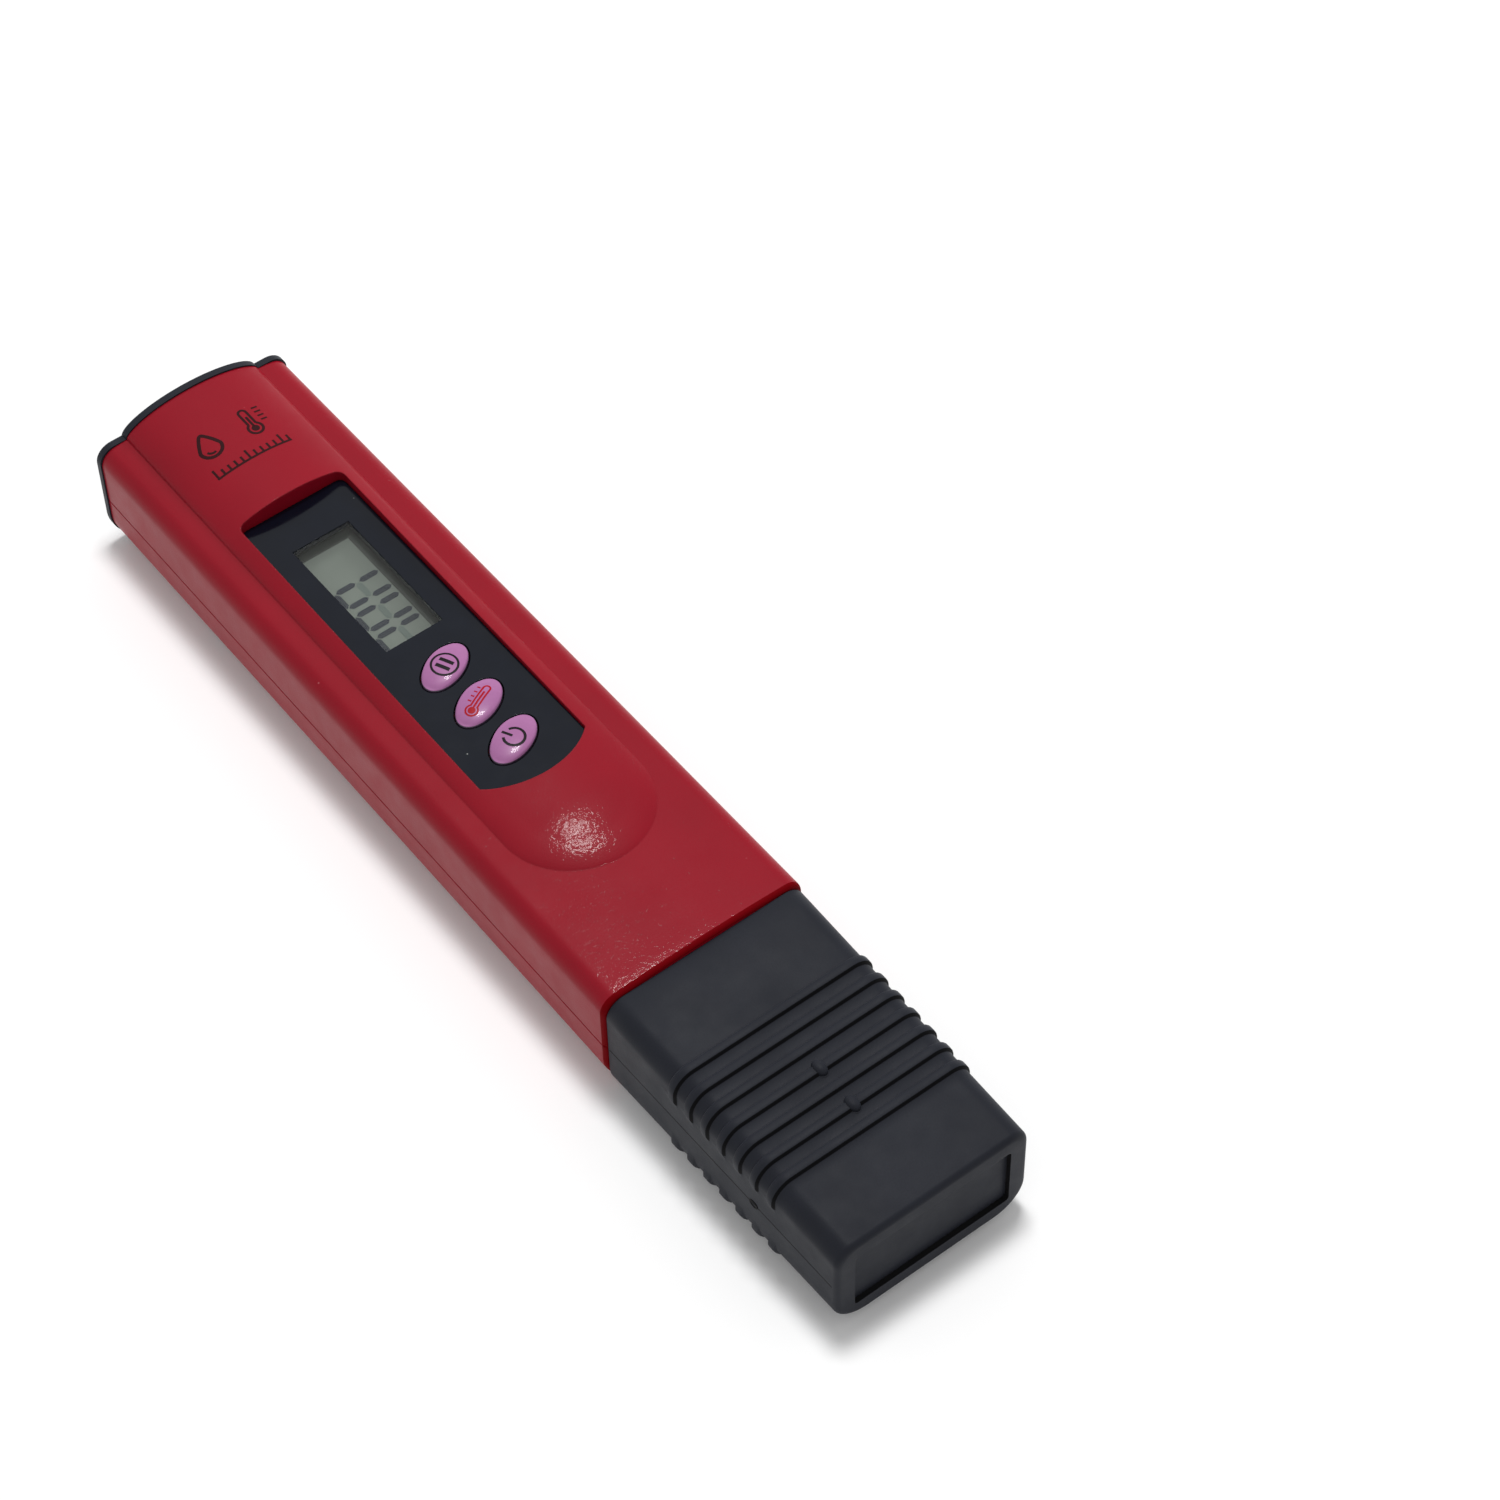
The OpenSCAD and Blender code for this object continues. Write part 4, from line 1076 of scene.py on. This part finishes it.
dark, faint = [], []
for y in (37.12, 32.45, 27.9):
    low, high = y - 1.5, y + 1.5
    for bar in (high, low):
        dark += [segment(-3.05, -0.08, bar), segment(0.5, 3.45, bar)]
    dark.append(cross_segment(-3.25, low + 0.05, high - 0.05, 0.45, 0.45))
    faint.append(cross_segment(0.22, low + 0.05, high - 0.05, 0.43, 0.42))
segments("display_digits", SEGMENT, dark)
segments("display_faint", GHOST, faint)


def window_gasket_and_shadow():
    """Foam round the window: a thin wall outside the pane, on a foot that slopes to the display. Its
    grey, and the foot's wider reach on the top and right, are painted shadow of the window's walls on
    the display.
    """
    rim, rim_len = OPENING_HALF - 0.01, OPENING_HALF_LEN - 0.01
    inner, inner_len = WINDOW_HALF + 0.02, WINDOW_HALF_LEN + 0.02
    foot_low, foot_high, wall_top = 16.22, 16.88, 17.48
    wall = 0.02
    rings = []
    for half, length, z, foot in ((rim, rim_len, foot_low, 0.0), (rim, rim_len, wall_top, 0.0),
                                  (rim - wall, rim_len - wall, wall_top, 0.0),
                                  (rim - wall, rim_len - wall, foot_high, 0.0),
                                  (inner, inner_len, foot_high, 0.0),
                                  (inner, inner_len, 16.8, 0.05), (inner, inner_len, 16.26, 0.75),
                                  (inner, inner_len, foot_low, 0.8)):
        # foot pulls the right side and the top end inwards: painted shadow of the window's walls on the
        # display
        y_low, y_high = Y_WINDOW - length, Y_WINDOW + length - foot
        rings.append([(half - foot, y_low, z), (half - foot, y_high, z), (-half, y_high, z),
                      (-half, y_low, z)])
    piece("window_gasket_and_shadow", *tube(rings), [GASKET_SHADE], "pen", "frame")


window_gasket_and_shadow()

# ------------------------------------------------------- finishes of CAD pieces
FINISH = {
    "display_panel": PANEL, "display_window": PANE, "case_screws": STEEL, "circuit_board": BOARD,
    "board_screws": STEEL, "lcd_cell": GLASS, "lcd_polariser": POLARISER, "lcd_reflector": SILVER,
    "lcd_frame": WHITE_ABS, "contact_strips": STRIP, "switch_bodies": MASK, "hold_plunger": NYLON,
    "temperature_plunger": NYLON, "power_plunger": NYLON, "chip_cover": EPOXY, "crystal": CAN,
    "small_parts": CHIP, "trimmer_body": BLUE, "trimmer_rotor": NYLON, "battery_holder": MASK,
    "battery_cell_upper": CAN, "battery_cell_lower": CAN, "contact_plus": SPRING,
    "contact_minus": SPRING, "probe_holder": PROBE, "probe_seal": RUBBER,
    "electrode_left": TITANIUM, "electrode_right": TITANIUM, "temperature_sensor": SHEATH,
    "probe_leads": WIRE,
}
for name, mat in FINISH.items():
    mesh = NODES[name].data
    mesh.materials.clear()
    mesh.materials.append(mat)
    smooth(NODES[name], EDGE_ANGLE)

# --------------------------------------------------------------- floor and light
# Sizes are in metres from here on. LIGHT_LEVEL is the world's strength for rays that only
# carry light.
LIGHT_LEVEL = 0.5
FLOOR_HALF = 4
FLOOR_Z = -0.0002


def looked_at(tree):
    """1 for rays of the camera, of gloss and of glass, 0 for rays that only carry light."""
    path = put(tree, "ShaderNodeLightPath").outputs
    total = path["Is Camera Ray"]
    for name in ("Is Glossy Ray", "Is Transmission Ray"):
        step = put(tree, "ShaderNodeMath", operation="ADD", use_clamp=True)
        tree.links.new(total, step.inputs[0])
        tree.links.new(path[name], step.inputs[1])
        total = step.outputs["Value"]
    return total


def stage_material():
    """Pale and dull, with a glow that lights nothing and grows away from the object, so the floor near
    the object is darker: painted shade.
    """
    mat, tree, place = new_material("pale_floor")
    shader = tree.nodes["Principled BSDF"]
    shader.inputs["Specular IOR Level"].default_value = 0.0
    shader.inputs["Roughness"].default_value = 0.9
    cloud = noise(tree, place, FLOOR_SCALE, 2.0)
    tree.links.new(ramp(tree, cloud, (0.88, 0.88, 0.88), (0.9, 0.9, 0.9)), shader.inputs["Base Color"])
    away = put(tree, "ShaderNodeVectorMath", operation="LENGTH")
    tree.links.new(place, away.inputs[0])
    glow = put(tree, "ShaderNodeEmission")
    # Glow weak near the object and strong far from it: painted shade on the floor round the object
    tree.links.new(spread(tree, away.outputs["Value"], 0.06, 0.62, 0.12, 0.5), glow.inputs["Strength"])
    seen = put(tree, "ShaderNodeMixShader")
    tree.links.new(looked_at(tree), seen.inputs[0])
    tree.links.new(glow.outputs[0], seen.inputs[2])
    both = put(tree, "ShaderNodeAddShader")
    tree.links.new(shader.outputs[0], both.inputs[0])
    tree.links.new(seen.outputs[0], both.inputs[1])
    tree.links.new(both.outputs[0], tree.nodes["Material Output"].inputs["Surface"])
    return mat


def stage_floor():
    mesh = bpy.data.meshes.new("floor")
    corners = [(-FLOOR_HALF, -FLOOR_HALF), (FLOOR_HALF, -FLOOR_HALF), (FLOOR_HALF, FLOOR_HALF),
               (-FLOOR_HALF, FLOOR_HALF)]
    mesh.from_pydata(at_z(corners, FLOOR_Z), [], [(0, 1, 2, 3)])
    mesh.materials.append(stage_material())
    obj = bpy.data.objects.new("floor", mesh)
    bpy.context.scene.collection.objects.link(obj)
    return obj


floor = stage_floor()
floor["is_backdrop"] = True

world = bpy.data.worlds.new("studio")
bpy.context.scene.world = world
world.use_nodes = True
sky = world.node_tree
backdrop = sky.nodes["Background"]
backdrop.inputs["Color"].default_value = (1.0, 1.0, 1.0, 1.0)
sky.links.new(spread(sky, looked_at(sky), LIGHT_LEVEL, 1.0, 0.0, 1.0), backdrop.inputs["Strength"])


def lamp(name, at, power, size, lit):
    """A square lamp aimed at the middle of the object, which lights one collection only."""
    data = bpy.data.lights.new(name, "AREA")
    data.shape = "RECTANGLE"
    data.size = data.size_y = size
    data.energy = power
    obj = bpy.data.objects.new(name, data)
    obj.location = at
    obj.rotation_mode = "QUATERNION"
    obj.rotation_quaternion = (-Vector(at)).to_track_quat("-Z", "Y")
    bpy.context.scene.collection.objects.link(obj)
    obj.light_linking.receiver_collection = lit
    return obj


def group(name, members):
    """A collection for light linking."""
    out = bpy.data.collections.new(name)
    for obj in members:
        out.objects.link(obj)
    return out


# The object is lit from overhead and, for its modelling, from behind on the right. The floor has
# a lamp of its own, more nearly overhead, for a shadow that stays close to the object.
object_group = group("lit_object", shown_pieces())
lamp("overhead", (0.19, 0.26, 0.90), 3.5, 0.14, object_group)
lamp("floor_lamp", (0.10, 0.09, 0.94), 6.1, 0.2, group("lit_by_floor_lamp", [floor]))
rake = lamp("rake", (0.72, 0.55, 0.44), 4.6, 0.3, object_group)
rake.visible_glossy = False

# ---------------------------------------------------------------------- camera
# Where the photo was taken from: level axes across and up its view, and the slight roll on them
LENS = 100.13
ROLL = math.radians(-1.169)
CAMERA_AT = Vector((-0.16810, -0.26826, 0.41978))
FORWARD = Vector((0.37149, 0.49502, -0.78546))
LEVEL_RIGHT = Vector((0.79983, -0.60023, 0.0))
LEVEL_UP = Vector((0.47146, 0.62823, 0.61891))

camera_data = bpy.data.cameras.new("camera")
camera_data.sensor_width = 36.0
camera_data.lens = LENS
camera_data.clip_start = 0.05
camera_data.clip_end = 20.0
camera = bpy.data.objects.new("camera", camera_data)
right = math.cos(ROLL) * LEVEL_RIGHT + math.sin(ROLL) * LEVEL_UP
up = -math.sin(ROLL) * LEVEL_RIGHT + math.cos(ROLL) * LEVEL_UP
axes = (right.normalized(), up.normalized(), (-FORWARD).normalized())
camera_place = Matrix(axes).transposed().to_4x4()
camera_place.translation = CAMERA_AT
camera.matrix_world = camera_place
bpy.context.scene.collection.objects.link(camera)
bpy.context.scene.camera = camera
bpy.context.scene.view_settings.view_transform = "Standard"

low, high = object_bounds()
